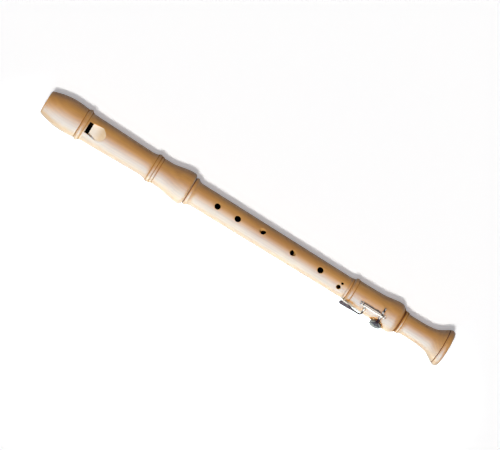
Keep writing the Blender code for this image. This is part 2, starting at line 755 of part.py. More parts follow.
def make_post(name, along, rod_cutter):
    """A ball on a neck with a flange, and a stem in the wood."""
    flange = post_seat(along) + GAP
    flange_top = flange + POST_FLANGE_THICKNESS
    lowest = math.degrees(math.acos(POST_NECK_RADIUS / POST_BALL_RADIUS))
    outline = [(HINGE_RADIUS + POST_BALL_RADIUS, 0)]
    outline += [
        (height, radius)
        for radius, height in arc((0, HINGE_RADIUS), POST_BALL_RADIUS, POST_BALL_RADIUS, 90, -lowest, 7)
    ]
    outline += [
        (flange_top, POST_NECK_RADIUS),
        (flange_top, POST_FLANGE_RADIUS),
        (flange, POST_FLANGE_RADIUS),
        (flange, POST_STEM_RADIUS),
        (flange - POST_STEM_LENGTH, POST_STEM_RADIUS),
        (flange - POST_STEM_LENGTH, 0),
    ]
    post = turned(name, outline, PARTS, SMALL_SIDES)
    post.location = (FOOT_X + along, 0, AXIS_Z)
    post.rotation_euler = (math.radians(HINGE_ANGLE), 0, 0)
    cut(post, rod_cutter)
    finish(post, SILVER)


def along_hinge(obj, x, parent=None):
    """Lays a piece that is round its own Z along the hinge, centred at x."""
    obj.rotation_euler = (0, math.radians(90), 0)
    if parent is None:
        obj.location = (x, HINGE_Y, AXIS_Z + HINGE_Z)
    else:
        obj.parent = parent
        obj.location = (x - parent.location.x, 0, 0)
    return obj


def make_posts_and_screw():
    upper = FOOT_X + POST_PLACES["upper_post"]
    lower = FOOT_X + POST_PLACES["lower_post"]
    length = lower - upper + 4 * POST_BALL_RADIUS
    rod_hole = cylinder("rod_hole_cutter", HINGE_ROD_RADIUS + GAP, length, CUTTERS)
    rod_cutter = as_cutter(along_hinge(rod_hole, (upper + lower) / 2))
    for name, along in POST_PLACES.items():
        make_post(name, along, rod_cutter)

    head_low = upper - POST_BALL_RADIUS - GAP / 2
    rod_end = lower + POST_BALL_RADIUS - GAP
    head_top = head_low - HINGE_HEAD_LENGTH
    outline = [
        (rod_end, 0),
        (rod_end, HINGE_ROD_RADIUS),
        (head_low, HINGE_ROD_RADIUS),
        (head_low, HINGE_HEAD_RADIUS),
        (head_top, HINGE_HEAD_RADIUS),
        (head_top, 0),
    ]
    screw = turned("hinge_screw", [(x - upper, radius) for x, radius in outline], PARTS, SMALL_SIDES)
    along_hinge(screw, upper)

    def corner(x, y, z):
        depth = head_top + SLOT_DEPTH if x > 0 else head_top - SLOT_DEPTH
        return (depth, HINGE_Y + y * SLOT_WIDTH / 2, AXIS_Z + HINGE_Z + z * 2 * HINGE_HEAD_RADIUS)

    cut(screw, as_cutter(hexahedron("slot_cutter", corner, CUTTERS)))
    finish(screw, STEEL)


def make_key_tube(parent):
    upper = FOOT_X + POST_PLACES["upper_post"] + POST_BALL_RADIUS + GAP
    lower = FOOT_X + POST_PLACES["lower_post"] - POST_BALL_RADIUS - GAP
    half = (lower - upper) / 2
    bore = HINGE_ROD_RADIUS + GAP
    outline = [(half, TUBE_RADIUS), (-half, TUBE_RADIUS), (-half, bore), (half, bore)]
    tube = turned("key_tube", outline, PARTS, SMALL_SIDES, closed=True)
    along_hinge(tube, (upper + lower) / 2, parent)
    finish(tube, SILVER)
    length = lower - upper + 2 * CUT_MARGIN
    saddle = cylinder("saddle_cutter", TUBE_RADIUS + GAP, length, CUTTERS, sides=CUP_SIDES)
    return as_cutter(along_hinge(saddle, (upper + lower) / 2, parent))


def from_cup(across, out):
    """The y and z, counted from the hinge of the closed key, of a place counted from the middle of the cup's
    outer face: across it towards the hinge, and out from it."""
    y, z = round_the_bore(KEY_HOLE_ANGLE, CUP_FACE + out)
    tangent_y = math.cos(math.radians(KEY_HOLE_ANGLE))
    tangent_z = math.sin(math.radians(KEY_HOLE_ANGLE))
    return (y + across * tangent_y - HINGE_Y, z + across * tangent_z - HINGE_Z)


def place_on_cup(obj, depth, parent):
    """Puts a piece that is round its own Z on the cup's axis, its origin at depth under the outer face."""
    y, z = from_cup(0, -depth)
    obj.parent = parent
    obj.location = (FOOT_X + KEY_HOLE_ALONG - parent.location.x, y, z)
    obj.rotation_euler = (math.radians(KEY_HOLE_ANGLE), 0, 0)
    return obj


def make_cup_and_pad(parent):
    inner = PAD_RADIUS + GAP
    outer = inner + CUP_WALL
    corner = (-CUP_ROUNDING, outer - CUP_ROUNDING)
    outline = [(0, 0), (0, outer - CUP_ROUNDING)]
    outline += arc(corner, CUP_ROUNDING, CUP_ROUNDING, 0, 90, 3)
    outline += [(-CUP_RIM_DEPTH, outer), (-CUP_RIM_DEPTH, inner), (-CUP_WALL, inner), (-CUP_WALL, 0)]
    cup = turned("pad_cup", outline, PARTS, CUP_SIDES)
    finish(place_on_cup(cup, 0, parent), SILVER)

    backing_depth = CUP_WALL + GAP + BACKING_THICKNESS / 2
    backing = cylinder("pad_backing", PAD_RADIUS, BACKING_THICKNESS, PARTS, sides=CUP_SIDES)
    finish(place_on_cup(backing, backing_depth, parent), CARD)

    bevel = PAD_THICKNESS / 4
    low = PAD_THICKNESS
    outline = [(0, 0), (0, PAD_RADIUS), (bevel - low, PAD_RADIUS), (-low, PAD_RADIUS - bevel), (-low, 0)]
    pad = turned("key_pad", outline, PARTS, CUP_SIDES)
    finish(place_on_cup(pad, backing_depth + BACKING_THICKNESS / 2 + GAP, parent), LEATHER)


def make_pad_arm(closed_key, saddle):
    """A flat bar from the tube over the rim of the cup to its middle."""
    rim = PAD_RADIUS + GAP + CUP_WALL
    over = GAP + PAD_ARM_THICKNESS / 2
    hinge_across, hinge_out = HINGE_FROM_CUP
    route = [
        from_cup(hinge_across - 0.45 * TUBE_RADIUS, hinge_out + 0.40 * TUBE_RADIUS),
        from_cup(hinge_across - 1.7 * TUBE_RADIUS, hinge_out + 1.65 * TUBE_RADIUS),
        from_cup(0.45 * rim + 0.43 * hinge_across, -0.0006),
        from_cup(rim, over),
        from_cup(0.5 * rim, over),
        from_cup(-0.15 * rim, over),
    ]
    arm = strap("pad_arm", smooth(route, 3), PAD_ARM_WIDTH, PAD_ARM_THICKNESS)
    arm.parent = closed_key
    arm.location.x = FOOT_X + KEY_HOLE_ALONG - closed_key.location.x
    cut(arm, saddle)


def make_stop(open_key, saddle):
    """The tail that rests on the foot joint, and the cork under its end, with the key open as it rests."""
    tip_y = HINGE_Y + TAIL_LENGTH - STOP_CORK_RADIUS
    surface = math.sqrt(radius_at(FOOT_OUTSIDE, KEY_HOLE_ALONG) ** 2 - tip_y**2)
    cork_low = surface + GAP
    cork_high = cork_low + STOP_CORK_THICKNESS
    tip_z = cork_high + GAP + TAIL_THICKNESS / 2 - HINGE_Z
    route = [
        (0.1 * TUBE_RADIUS, 1.1 * TUBE_RADIUS),
        (1.2 * TUBE_RADIUS, 0.8 * TUBE_RADIUS),
        (0.55 * TAIL_LENGTH, 0.25 * TUBE_RADIUS + tip_z),
        (TAIL_LENGTH - 2 * STOP_CORK_RADIUS, tip_z),
        (TAIL_LENGTH, tip_z),
    ]
    tail = strap("stop_tail", smooth(route, 3), TAIL_WIDTH, TAIL_THICKNESS)
    tail.parent = open_key
    tail.location.x = FOOT_X + KEY_HOLE_ALONG - open_key.location.x
    cut(tail, saddle)

    cork = cylinder("stop_cork", STOP_CORK_RADIUS, STOP_CORK_THICKNESS, PARTS)
    cork.parent = open_key
    cork.location = (tail.location.x, tip_y - HINGE_Y, (cork_low + cork_high) / 2 - HINGE_Z)
    finish(cork, CORK)


def make_touch(open_key, saddle):
    """The touch plate, curved round the foot joint, and the arm that carries it from the tube."""
    arm_x = FOOT_X + POST_PLACES["upper_post"] + POST_BALL_RADIUS + TOUCH_ARM_SETBACK
    root = arm_x - 3 * TOUCH_ARM_RADIUS
    route = [
        (arm_x, HINGE_ANGLE + 1.5, HINGE_RADIUS + 0.0003),
        (arm_x, HINGE_ANGLE + 8, (HINGE_RADIUS + TOUCH_RADIUS) / 2 + 0.0006),
        (arm_x, HINGE_ANGLE + 18, TOUCH_RADIUS + 0.0003),
        (arm_x, TOUCH_PLATE_ANGLE - 8, TOUCH_RADIUS),
        (arm_x - TOUCH_ARM_RADIUS, TOUCH_PLATE_ANGLE - 1.5, TOUCH_RADIUS),
        (root + GAP, TOUCH_PLATE_ANGLE, TOUCH_RADIUS),
    ]
    path = []
    for x, angle, radius in smooth(route, 3):
        y, z = round_the_bore(angle, radius)
        path.append((x - open_key.location.x, y - HINGE_Y, z - HINGE_Z))
    arm = wire("touch_arm", path, TOUCH_ARM_RADIUS, SILVER)
    arm.parent = open_key
    cut(arm, saddle)

    shape = bmesh.new()
    bmesh.ops.create_grid(shape, x_segments=12, y_segments=6, size=1)
    for point in shape.verts:
        share = (point.co.x + 1) / 2
        across = point.co.y
        rounded = TOUCH_PLATE_WIDTH / 2 * (1 - math.sqrt(1 - (0.92 * across) ** 2))
        along = share * TOUCH_PLATE_LENGTH + rounded * (1 - share)
        narrow = 0.5 - 0.5 * math.cos(math.pi * max(0.0, share - 0.25) / 0.75)
        width = TOUCH_PLATE_WIDTH + (TOUCH_PLATE_NECK - TOUCH_PLATE_WIDTH) * narrow
        angle = TOUCH_PLATE_ANGLE + math.degrees(across * width / 2 / TOUCH_RADIUS)
        y, z = round_the_bore(angle, TOUCH_RADIUS)
        point.co = (root - TOUCH_PLATE_LENGTH + along - open_key.location.x, y - HINGE_Y, z - HINGE_Z)
    plate = add_mesh("touch_plate", shape, PARTS)
    solid = plate.modifiers.new("thickness", "SOLIDIFY")
    solid.thickness = TOUCH_PLATE_THICKNESS
    solid.offset = 0
    plate.parent = open_key
    finish(plate, SILVER)


def make_spring_and_catch(open_key, saddle):
    """A needle from the neck of the upper post that lies on a catch at the far side of the tube."""
    reach = TUBE_RADIUS + GAP + SPRING_RADIUS
    start_x = FOOT_X + POST_PLACES["upper_post"] + POST_NECK_RADIUS + GAP
    end_x = start_x + SPRING_LENGTH
    drop = 1.2 * reach
    start = (start_x, HINGE_Y + 0.25 * reach, AXIS_Z + HINGE_Z - drop)
    end = (end_x, HINGE_Y + reach + GAP, AXIS_Z + HINGE_Z)
    wire("needle_spring", [start, end], SPRING_RADIUS, STEEL)

    catch_x = end_x - 2 * CATCH_LENGTH - open_key.location.x
    catch_top = -drop * 2.5 * CATCH_LENGTH / SPRING_LENGTH - SPRING_RADIUS - GAP

    def corner(x, y, z):
        side = reach + CATCH_REACH - SPRING_RADIUS if y > 0 else 0.5 * TUBE_RADIUS
        return (catch_x + x * CATCH_LENGTH / 2, side, catch_top - (0 if z > 0 else CATCH_HEIGHT))

    catch = hexahedron("spring_catch", corner, PARTS)
    catch.parent = open_key
    cut(catch, saddle)
    finish(catch, SILVER)


clear_scene()
PARTS = new_collection("tenor_recorder")
CUTTERS = new_collection("cutters")

BEAK_CUTTER = make_beak_cutter()
make_head_joint()
make_block()
make_middle_joint()
UPPER_TENON_X = MIDDLE_X - UPPER_TENON_LENGTH
LOWER_TENON_X = MIDDLE_X + MIDDLE_LENGTH
make_tenon_cork("upper_tenon_cork", UPPER_TENON_X, UPPER_TENON_LENGTH, UPPER_TENON_RADIUS)
make_tenon_cork("lower_tenon_cork", LOWER_TENON_X, LOWER_TENON_LENGTH, LOWER_TENON_RADIUS)

FOOT_OUTSIDE = foot_outside()
LOWER_POST_ALONG = KEY_HOLE_ALONG + LOWER_POST_SETBACK
POST_PLACES = {"upper_post": LOWER_POST_ALONG - POST_SPACING, "lower_post": LOWER_POST_ALONG}
HINGE_RADIUS = radius_at(FOOT_OUTSIDE, LOWER_POST_ALONG) + POST_RISE
HINGE_Y, HINGE_Z = round_the_bore(HINGE_ANGLE, HINGE_RADIUS)
RECESS_FLOOR = radius_at(FOOT_OUTSIDE, KEY_HOLE_ALONG) - RECESS_DEPTH
CUP_FACE = RECESS_FLOOR + SEAT_HEIGHT + GAP + PAD_THICKNESS + GAP + BACKING_THICKNESS + GAP + CUP_WALL
HINGE_FROM_CUP = (
    HINGE_RADIUS * math.sin(math.radians(KEY_HOLE_ANGLE - HINGE_ANGLE)),
    HINGE_RADIUS * math.cos(math.radians(KEY_HOLE_ANGLE - HINGE_ANGLE)) - CUP_FACE,
)
TOUCH_REACH = 2 * HINGE_RADIUS * math.sin(math.radians((TOUCH_PLATE_ANGLE - HINGE_ANGLE) / 2 + 5))
TOUCH_RADIUS = (
    FOOT_RING_RADIUS
    + TOUCH_CLEARANCE
    + TOUCH_REACH * math.sin(math.radians(KEY_OPENING))
    + TOUCH_PLATE_THICKNESS / 2
)
make_foot_joint()
make_posts_and_screw()

OPEN_KEY = add_empty("open_key", (FOOT_X + KEY_HOLE_ALONG, HINGE_Y, AXIS_Z + HINGE_Z))
CLOSED_KEY = add_empty("closed_key", OPEN_KEY.location, (-math.radians(KEY_OPENING), 0, 0))
SADDLE = make_key_tube(OPEN_KEY)
make_cup_and_pad(CLOSED_KEY)
make_pad_arm(CLOSED_KEY, SADDLE)
make_stop(OPEN_KEY, SADDLE)
make_touch(OPEN_KEY, SADDLE)
make_spring_and_catch(OPEN_KEY, SADDLE)
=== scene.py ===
"""A tenor recorder in pale wood with a plated key on its foot joint, as it lies on a white studio table.

Places on the instrument are in millimetres: along counts from the tip of the beak towards the bell, across
from the bore towards +Y, and up from the bore. An angle round the bore counts from the top towards the key.
"""

import json
import math

import bmesh
import bpy
from mathutils import Matrix, Vector


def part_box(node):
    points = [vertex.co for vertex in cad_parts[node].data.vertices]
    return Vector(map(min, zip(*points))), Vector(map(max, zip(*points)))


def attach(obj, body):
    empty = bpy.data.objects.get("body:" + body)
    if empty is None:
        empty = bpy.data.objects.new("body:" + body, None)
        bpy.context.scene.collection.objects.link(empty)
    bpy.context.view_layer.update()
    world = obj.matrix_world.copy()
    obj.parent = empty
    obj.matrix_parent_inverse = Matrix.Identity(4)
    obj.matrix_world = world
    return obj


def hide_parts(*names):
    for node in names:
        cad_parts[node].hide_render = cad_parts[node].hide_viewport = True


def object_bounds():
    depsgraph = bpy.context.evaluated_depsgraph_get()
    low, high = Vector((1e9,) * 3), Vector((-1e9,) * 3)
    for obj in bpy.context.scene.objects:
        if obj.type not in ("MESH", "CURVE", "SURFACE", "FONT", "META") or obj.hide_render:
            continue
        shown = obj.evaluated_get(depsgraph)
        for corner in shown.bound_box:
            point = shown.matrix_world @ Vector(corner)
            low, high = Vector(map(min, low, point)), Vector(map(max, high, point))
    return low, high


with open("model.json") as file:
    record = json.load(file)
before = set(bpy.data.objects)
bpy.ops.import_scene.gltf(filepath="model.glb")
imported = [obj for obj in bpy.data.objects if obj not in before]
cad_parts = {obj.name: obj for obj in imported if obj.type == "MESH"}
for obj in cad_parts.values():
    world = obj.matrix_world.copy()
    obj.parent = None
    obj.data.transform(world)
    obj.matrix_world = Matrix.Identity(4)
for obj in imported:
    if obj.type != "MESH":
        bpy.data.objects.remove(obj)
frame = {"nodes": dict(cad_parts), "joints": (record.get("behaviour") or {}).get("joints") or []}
cad_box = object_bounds()

# Camera
# The instrument is seen from straight above, from over its head joint, with the bore running down to the
# right. The camera leans a little towards the bell, so that the whole length fills the picture.
PICTURE_TURN = 31.86
CAMERA_LEAD = -0.200
CAMERA_RISE = 4.3
AIM_LEAD = 0.0030
AIM_ASIDE = 0.0035
LENS = 224.5
SENSOR_WIDTH = 36
FAR_CLIP = 50

joints = {joint["name"]: joint for joint in frame["joints"]}
bore_height = joints["foot_turn"]["pos_m"][2]
aim = Vector((AIM_LEAD, AIM_ASIDE, bore_height))
eye = Vector((CAMERA_LEAD, AIM_ASIDE, bore_height + CAMERA_RISE))
camera = bpy.data.objects.new("camera", bpy.data.cameras.new("camera"))
camera.data.lens = LENS
camera.data.sensor_width = SENSOR_WIDTH
camera.data.clip_end = FAR_CLIP
back = (eye - aim).normalized()
turn = math.radians(PICTURE_TURN)
picture_up = Vector((-math.sin(turn), math.cos(turn), 0))
picture_right = picture_up.cross(back).normalized()
picture_up = back.cross(picture_right)
camera_axes = Matrix((picture_right, picture_up, back)).transposed()
camera.matrix_world = Matrix.Translation(eye) @ camera_axes.to_4x4()
bpy.context.scene.collection.objects.link(camera)
bpy.context.scene.camera = camera
bpy.context.scene.view_settings.view_transform = "Standard"


# Studio
# A white table with a lamp and a low strip of its own, which throw the narrow shadow. The instrument's lamp
# stands on the key's side, with cool panels that show only as a pale band in the varnish, and white ones for
# the key work. A weak warm lamp, low on the far side, stands for the light that a room throws back.
TABLE_HALF = 12.0
TABLE_WHITE = 0.90
TABLE_GREY = 0.35
TABLE_GLOW = 0.36
TABLE_GLOW_IN_GLOSS = 0.08
TABLE_GLOW_COLOUR = (0.97, 0.99, 1.04, 1)
LAMP_COLOUR = (1.0, 0.98, 0.95)
BOUNCE_COLOUR = (1.0, 0.68, 0.42)
# Each lamp: strength, tilt and spread in degrees, and colour.
LAMPS = {
    "table lamp": (2.1, 13.0, 7.0, LAMP_COLOUR),
    "side lamp": (3.35, 26.0, 12.0, LAMP_COLOUR),
    "bounce": (0.4, -118.0, 60.0, BOUNCE_COLOUR),
}
CEILING_COLOUR = (0.27, 0.57, 0.92)
TALL_COLOUR = (0.107, 0.482, 0.946)
STRIP_COLOUR = (0.72, 0.92, 1.0)
WHITE = (1.0, 1.0, 1.0)
# Each panel: what it lights, radiance, its middle and length along the bore, its foot and its top as
# (across, height) over the table, colour, and spread in degrees.
PANELS = {
    "tall panel": ("wood", 14.0, 0.0, 3.4, (-1.5, 0.02), (-1.5, 2.6), TALL_COLOUR, 180),
    "ceiling panel": ("wood", 5.4, 0.0, 3.4, (-1.5, 2.7), (0.2, 2.7), CEILING_COLOUR, 180),
    "key panel": ("key work", 2.2, 0.0, 3.4, (-1.5, 0.35), (-1.5, 2.2), WHITE, 180),
    "high key panel": ("key work", 1.6, 0.0, 3.4, (-1.5, 2.3), (-0.45, 2.5), WHITE, 180),
    "far key panel": ("key work", 1.7, 0.0, 3.4, (1.5, 1.7), (1.5, 0.05), WHITE, 180),
    "bell panel": ("key work", 1.8, 1.0, 0.9, (-0.8, 2.4), (0.5, 2.4), WHITE, 180),
    "table strip": ("table", 16.0, 0.0, 0.62, (-0.32, 0.16), (-0.08, 0.16), STRIP_COLOUR, 80),
}
# The room is dark overhead. Its walls are white up to a low height, as a camera or a gloss sees them.
CEILING_LIGHT = 0.06
WALL_LIGHT = 0.9
WALL_TOP = (0.08, 0.18)


def add_node(tree, kind, values=None, **settings):
    """A node with its settings, and with values or links for its inputs, named or counted."""
    made = tree.nodes.new(kind)
    for name, setting in settings.items():
        setattr(made, name, setting)
    for name, value in (values or {}).items():
        if isinstance(value, bpy.types.NodeSocket):
            tree.links.new(value, made.inputs[name])
        else:
            made.inputs[name].default_value = value
    return made


def calculate(tree, operation, *values, **settings):
    """The result of an operation on values or links."""
    made = add_node(tree, "ShaderNodeMath", dict(enumerate(values)), operation=operation, **settings)
    return made.outputs[0]


def carry(tree, value, start=(0.0, 1.0), end=(0.0, 1.0), **settings):
    """A value carried from one span to another, and held at its ends."""
    limits = dict(zip(("From Min", "From Max", "To Min", "To Max"), (*start, *end)))
    return add_node(tree, "ShaderNodeMapRange", {"Value": value, **limits}, **settings).outputs["Result"]


def blend(tree, share, none, full):
    """A colour between two, by the share of the second."""
    return add_node(tree, "ShaderNodeMix", {0: share, 6: none, 7: full}, data_type="RGBA").outputs[2]


def new_material(name, constants):
    """A material with constant values on its Principled shader; returns it with its node tree and shader."""
    material = bpy.data.materials.new(name)
    material.use_nodes = True
    shader = material.node_tree.nodes["Principled BSDF"]
    for socket, value in constants.items():
        shader.inputs[socket].default_value = value
    return material, material.node_tree, shader


table_mesh = bpy.data.meshes.new("table")
corners = [(x * TABLE_HALF, y * TABLE_HALF, 0) for x, y in ((-1, -1), (1, -1), (1, 1), (-1, 1))]
table_mesh.from_pydata(corners, [], [(0, 1, 2, 3)])
table = bpy.data.objects.new("table", table_mesh)
bpy.context.scene.collection.objects.link(table)
table_white, tree, shader = new_material(
    "table white", {"Roughness": 1.0, "Specular IOR Level": 0.0, "Emission Color": TABLE_GLOW_COLOUR}
)
ray = add_node(tree, "ShaderNodeLightPath").outputs
glow = calculate(tree, "MULTIPLY", ray["Is Camera Ray"], TABLE_GLOW)
glow = calculate(tree, "MULTIPLY_ADD", ray["Is Glossy Ray"], TABLE_GLOW_IN_GLOSS, glow)
tone = blend(tree, ray["Is Camera Ray"], (TABLE_GREY,) * 3 + (1,), (TABLE_WHITE,) * 3 + (1,))
tree.links.new(glow, shader.inputs["Emission Strength"])
tree.links.new(tone, shader.inputs["Base Color"])
table_mesh.materials.append(table_white)

lit = {name: bpy.data.collections.new(f"lit {name}") for name in ("table", "wood", "key work")}
lit["table"].objects.link(table)
all_but_table = bpy.data.collections.new("all but the table")
all_but_table.objects.link(table)
all_but_table.collection_objects[0].light_linking.link_state = "EXCLUDE"
for name, (strength, tilt, spread, colour) in LAMPS.items():
    lamp = bpy.data.objects.new(name, bpy.data.lights.new(name, "SUN"))
    lamp.data.energy = strength
    lamp.data.angle = math.radians(spread)
    lamp.data.color = colour
    lamp.rotation_euler = (math.radians(tilt), 0, 0)
    lamp.visible_glossy = False
    bpy.context.scene.collection.objects.link(lamp)
    lamp.light_linking.receiver_collection = lit["table"] if name == "table lamp" else all_but_table
    if name == "bounce":
        lamp.light_linking.blocker_collection = all_but_table

for name, (receiver, radiance, along, length, foot, top, colour, spread) in PANELS.items():
    panel = bpy.data.objects.new(name, bpy.data.lights.new(name, "AREA"))
    foot, top = Vector((along, *foot)), Vector((along, *top))
    height = (top - foot).length
    panel.data.shape = "RECTANGLE"
    panel.data.size = length
    panel.data.size_y = height
    panel.data.energy = radiance * math.pi * length * height
    panel.data.color = colour
    panel.data.spread = math.radians(spread)
    upright = (top - foot).normalized()
    shining = Vector((1, 0, 0)).cross(upright)
    turned = Matrix((Vector((1, 0, 0)), upright, shining)).transposed().to_4x4()
    panel.matrix_world = Matrix.Translation((foot + top) / 2) @ turned
    panel.visible_camera = False
    panel.visible_diffuse = receiver == "table"
    panel.light_linking.receiver_collection = lit[receiver]
    bpy.context.scene.collection.objects.link(panel)

room = bpy.data.worlds.new("room")
room.use_nodes = True
tree = room.node_tree
direction = add_node(tree, "ShaderNodeTexCoord")
split = add_node(tree, "ShaderNodeSeparateXYZ", {0: direction.outputs["Generated"]})
walls = carry(tree, split.outputs["Z"], WALL_TOP, (WALL_LIGHT, 0.0), interpolation_type="SMOOTHSTEP")
ray = add_node(tree, "ShaderNodeLightPath").outputs
shown = calculate(tree, "MAXIMUM", ray["Is Camera Ray"], ray["Is Glossy Ray"])
light = calculate(tree, "ADD", calculate(tree, "MULTIPLY", walls, shown), CEILING_LIGHT)
tree.links.new(light, tree.nodes["Background"].inputs["Strength"])
tree.nodes["Background"].inputs["Color"].default_value = (*WHITE, 1)
bpy.context.scene.world = room


# Head joint
# One piece of pale maple, turned outside, bored through and socketed at its lower end. The beak is sawn to a
# hollow curve underneath, and the window and its ramp are cut by hand, so the ramp's raw wood is paler.
TURNING_SIDES = 128
OUTLINE_STEP = 1.5
# Each maple has two colours, of its early wood and its late wood.
MAPLE = ((0.66, 0.32, 0.065, 1), (0.53, 0.235, 0.045, 1))
RAW_MAPLE = ((0.80, 0.62, 0.42, 1), (0.70, 0.52, 0.33, 1))
RAMP_MAPLE = ((0.82, 0.63, 0.42, 1), (0.72, 0.53, 0.33, 1))
# Painted shade: the maple inside the bore, the windway and the undercut is near black.
BORE_SHADE_MAPLE = ((0.012, 0.006, 0.003, 1), (0.008, 0.004, 0.002, 1))
# Painted shade in the turned grooves and coves, in a pale tone and a deep tone.
PALE_GROOVE_SHADE = ((0.50, 0.23, 0.05, 1), (0.42, 0.18, 0.035, 1))
DARK_GROOVE_SHADE = ((0.26, 0.09, 0.025, 1), (0.20, 0.07, 0.018, 1))
MAPLE_CONTRAST = 1.5
MAPLE_ROUGHNESS = 0.42
MAPLE_RELIEF = 0.12
HEAD_BILLET = (0.3, 0.062, 0.040)
LINE_BILLET = (0.3, 0.06, 0.04)
MATT = {"Specular IOR Level": 0.0}
DULL = {"Specular IOR Level": 0.1}
VARNISH = {"Coat Weight": 1.0, "Coat Roughness": 0.65, "Coat IOR": 1.45, "Specular IOR Level": 0.5,
           "Sheen Weight": 0.42, "Sheen Roughness": 0.4, "Sheen Tint": (0.5, 0.85, 1.0, 1)}
HEAD_BORE = 12.3
# Each knot of a turned outline: along, radius, and the outline's heading into it and out of it in degrees.
HEAD_OUTLINE = (
    (0.0, 15.8, 90, 90),
    (1.8, 17.5, 20, 20),
    (37.0, 23.9, 0, 0),
    (56.0, 22.5, -7, -52),
    (56.6, 21.8, -52, 57),
    (57.1, 22.65, 57, 42),
    (61.0, 24.3, 0, 0),
    (63.1, 22.5, -48, -38),
    (67.2, 20.7, -2, -1.4),
    (161.0, 18.35, -1.4, 0),
    (171.8, 21.1, 37, 37),
    (173.0, 21.9, 0, 0),
    (175.7, 21.1, -20, -52),
    (176.2, 20.4, -52, 52),
    (176.8, 21.1, 52, 0),
    (179.9, 20.15, -22, -52),
    (180.4, 19.1, -52, 52),
    (181.0, 19.75, 52, 0),
    (190.0, 19.75, 0, 0),
    (222.0, 24.6, 3, 1),
    (227.3, 24.6, 0, 0),
    (231.3, 20.6, -90, -90),
)
# Bands of the head that take painted groove shade.
HEAD_LINES = ((56.0, 57.1), (62.7, 63.8), (170.6, 172.0), (175.7, 176.8), (179.9, 181.0))
SOCKET_FLOOR = 202.0
SOCKET_RADIUS = 15.8
BEYOND_HEAD = (-5, 240)
CUT_FLOOR = 6
WINDOW_START = 66.3
WINDOW_END = 72.2
WINDOW_CUT_TOP = 30
WINDWAY_HALF = 8.3
WINDWAY_ROOF = ((-5, 14.26), (69, 13.37))
UNDERCUT = ((69, 12.6), (87.5, 9.4))
EDGE_UP = 12.9
# Painted highlight: the ramp's raw maple goes paler towards the edge.
PAINTED_HIGHLIGHT_SPAN = (89, 79)
PAINTED_HIGHLIGHT_MAPLE = (0.86, 0.78, 0.68, 1)
# Painted bounce light: the ramp's walls that face sideways are painted a warm brown.
WALL_TILT = (0.5, 0.8)
WALL_PAINTED_BOUNCE = (0.92, 0.46, 0.13, 1)
RAMP_END = 95.3
RAMP_SURFACE = 20.0
RAMP_END_HALF = 13.3
RAMP_FLARE = (1.6, 4.6)
RAMP_LEAD = 0.1
RAMP_RUNOUT = 12
RAMP_CUT_TOP = 40
BEAK_LENGTH = 50.0
BEAK_DROP = 2.0
BEAK_SWELL = 23.9
DRUM_SIDES = 256
DRUM_HALF = 40


def to_metres(place):
    """A place on the instrument in the frame's own metres."""
    along, across, up = place
    return (cad_box[0][0] + along / 1000, across / 1000, bore_height + up / 1000)


def along_from_tip(x):
    """Millimetres along the instrument, from the frame's metres."""
    return (x - cad_box[0][0]) * 1000


def skin(name, rings, closed=False):
    """A mesh over rings of as many points each, given as (along, across, up). Closed joins the last ring to
    the first; otherwise both ends are capped."""
    count = len(rings[0])
    points = [to_metres(place) for ring in rings for place in ring]
    faces = []
    for turn in range(len(rings) if closed else len(rings) - 1):
        here, there = turn * count, (turn + 1) % len(rings) * count
        for side in range(count):
            beside = (side + 1) % count
            faces.append((here + side, here + beside, there + beside, there + side))
    if not closed:
        last = (len(rings) - 1) * count
        faces.append(tuple(range(count))[::-1])
        faces.append(tuple(range(last, last + count)))
    mesh = bpy.data.meshes.new(name)
    mesh.from_pydata(points, [], faces)
    surface = bmesh.new()
    surface.from_mesh(mesh)
    bmesh.ops.recalc_face_normals(surface, faces=surface.faces)
    surface.to_mesh(mesh)
    surface.free()
    piece = bpy.data.objects.new(name, mesh)
    bpy.context.scene.collection.objects.link(piece)
    return piece


def outline(knots, step=OUTLINE_STEP):
    """Points (along, radius) of a turned outline. Its headings count from the bore's direction."""
    points = [Vector(knots[0][:2])]
    for (x0, r0, _, leaving), (x1, r1, arriving, _) in zip(knots, knots[1:]):
        start = Vector((x0, r0))
        end = Vector((x1, r1))
        reach = (end - start).length
        out, into = (
            Vector((math.cos(heading), math.sin(heading))) * reach
            for heading in (math.radians(leaving), math.radians(arriving))
        )
        steps = max(2, round(reach / step))
        for count in range(1, steps + 1):
            t = count / steps
            ease = 3 * t**2 - 2 * t**3
            points.append(start.lerp(end, ease) + out * t * (1 - t) ** 2 - into * t**2 * (1 - t))
    return [tuple(point) for point in points]


def ring(along, radius, sides=TURNING_SIDES):
    """A ring of points round the bore."""
    turns = [2 * math.pi * side / sides for side in range(sides)]
    return [(along, -radius * math.sin(turn), radius * math.cos(turn)) for turn in turns]


def lathe(name, points, closed=False, sides=TURNING_SIDES):
    """A piece turned round the bore, through points (along, radius)."""
    return skin(name, [ring(along, radius, sides) for along, radius in points], closed)


def wedge(name, start, end, flare=(0, 0)):
    """A cutter between two upright rectangles, each given as (along, half width, low, high). The flare widens
    the top of the first one on its -Y and +Y sides."""
    rings = []
    for (along, half, low, high), (near, far) in ((start, flare), (end, (0, 0))):
        top = [(along, -half - near, high), (along, half + far, high)]
        rings.append([(along, -half, low), *top, (along, half, low)])
    return skin(name, rings)


def carve(piece, cutter, material=None, operation="DIFFERENCE"):
    """Cuts the cutter out of the piece, or joins it, and removes the cutter. New faces take its material."""
    if material:
        cutter.data.materials.append(material)
    boolean = piece.modifiers.new("carve", "BOOLEAN")
    boolean.operation = operation
    boolean.solver = "EXACT"
    boolean.material_mode = "TRANSFER"
    boolean.object = cutter
    bpy.context.view_layer.update()
    carved = bpy.data.meshes.new_from_object(piece.evaluated_get(bpy.context.evaluated_depsgraph_get()))
    piece.modifiers.clear()
    piece.data = carved
    carved.name = piece.name
    bpy.data.objects.remove(cutter)


def smooth(piece, angle=32):
    """Rounds the shading everywhere but at edges sharper than the angle."""
    piece.data.shade_smooth()
    piece.data.set_sharp_from_angle(angle=math.radians(angle))


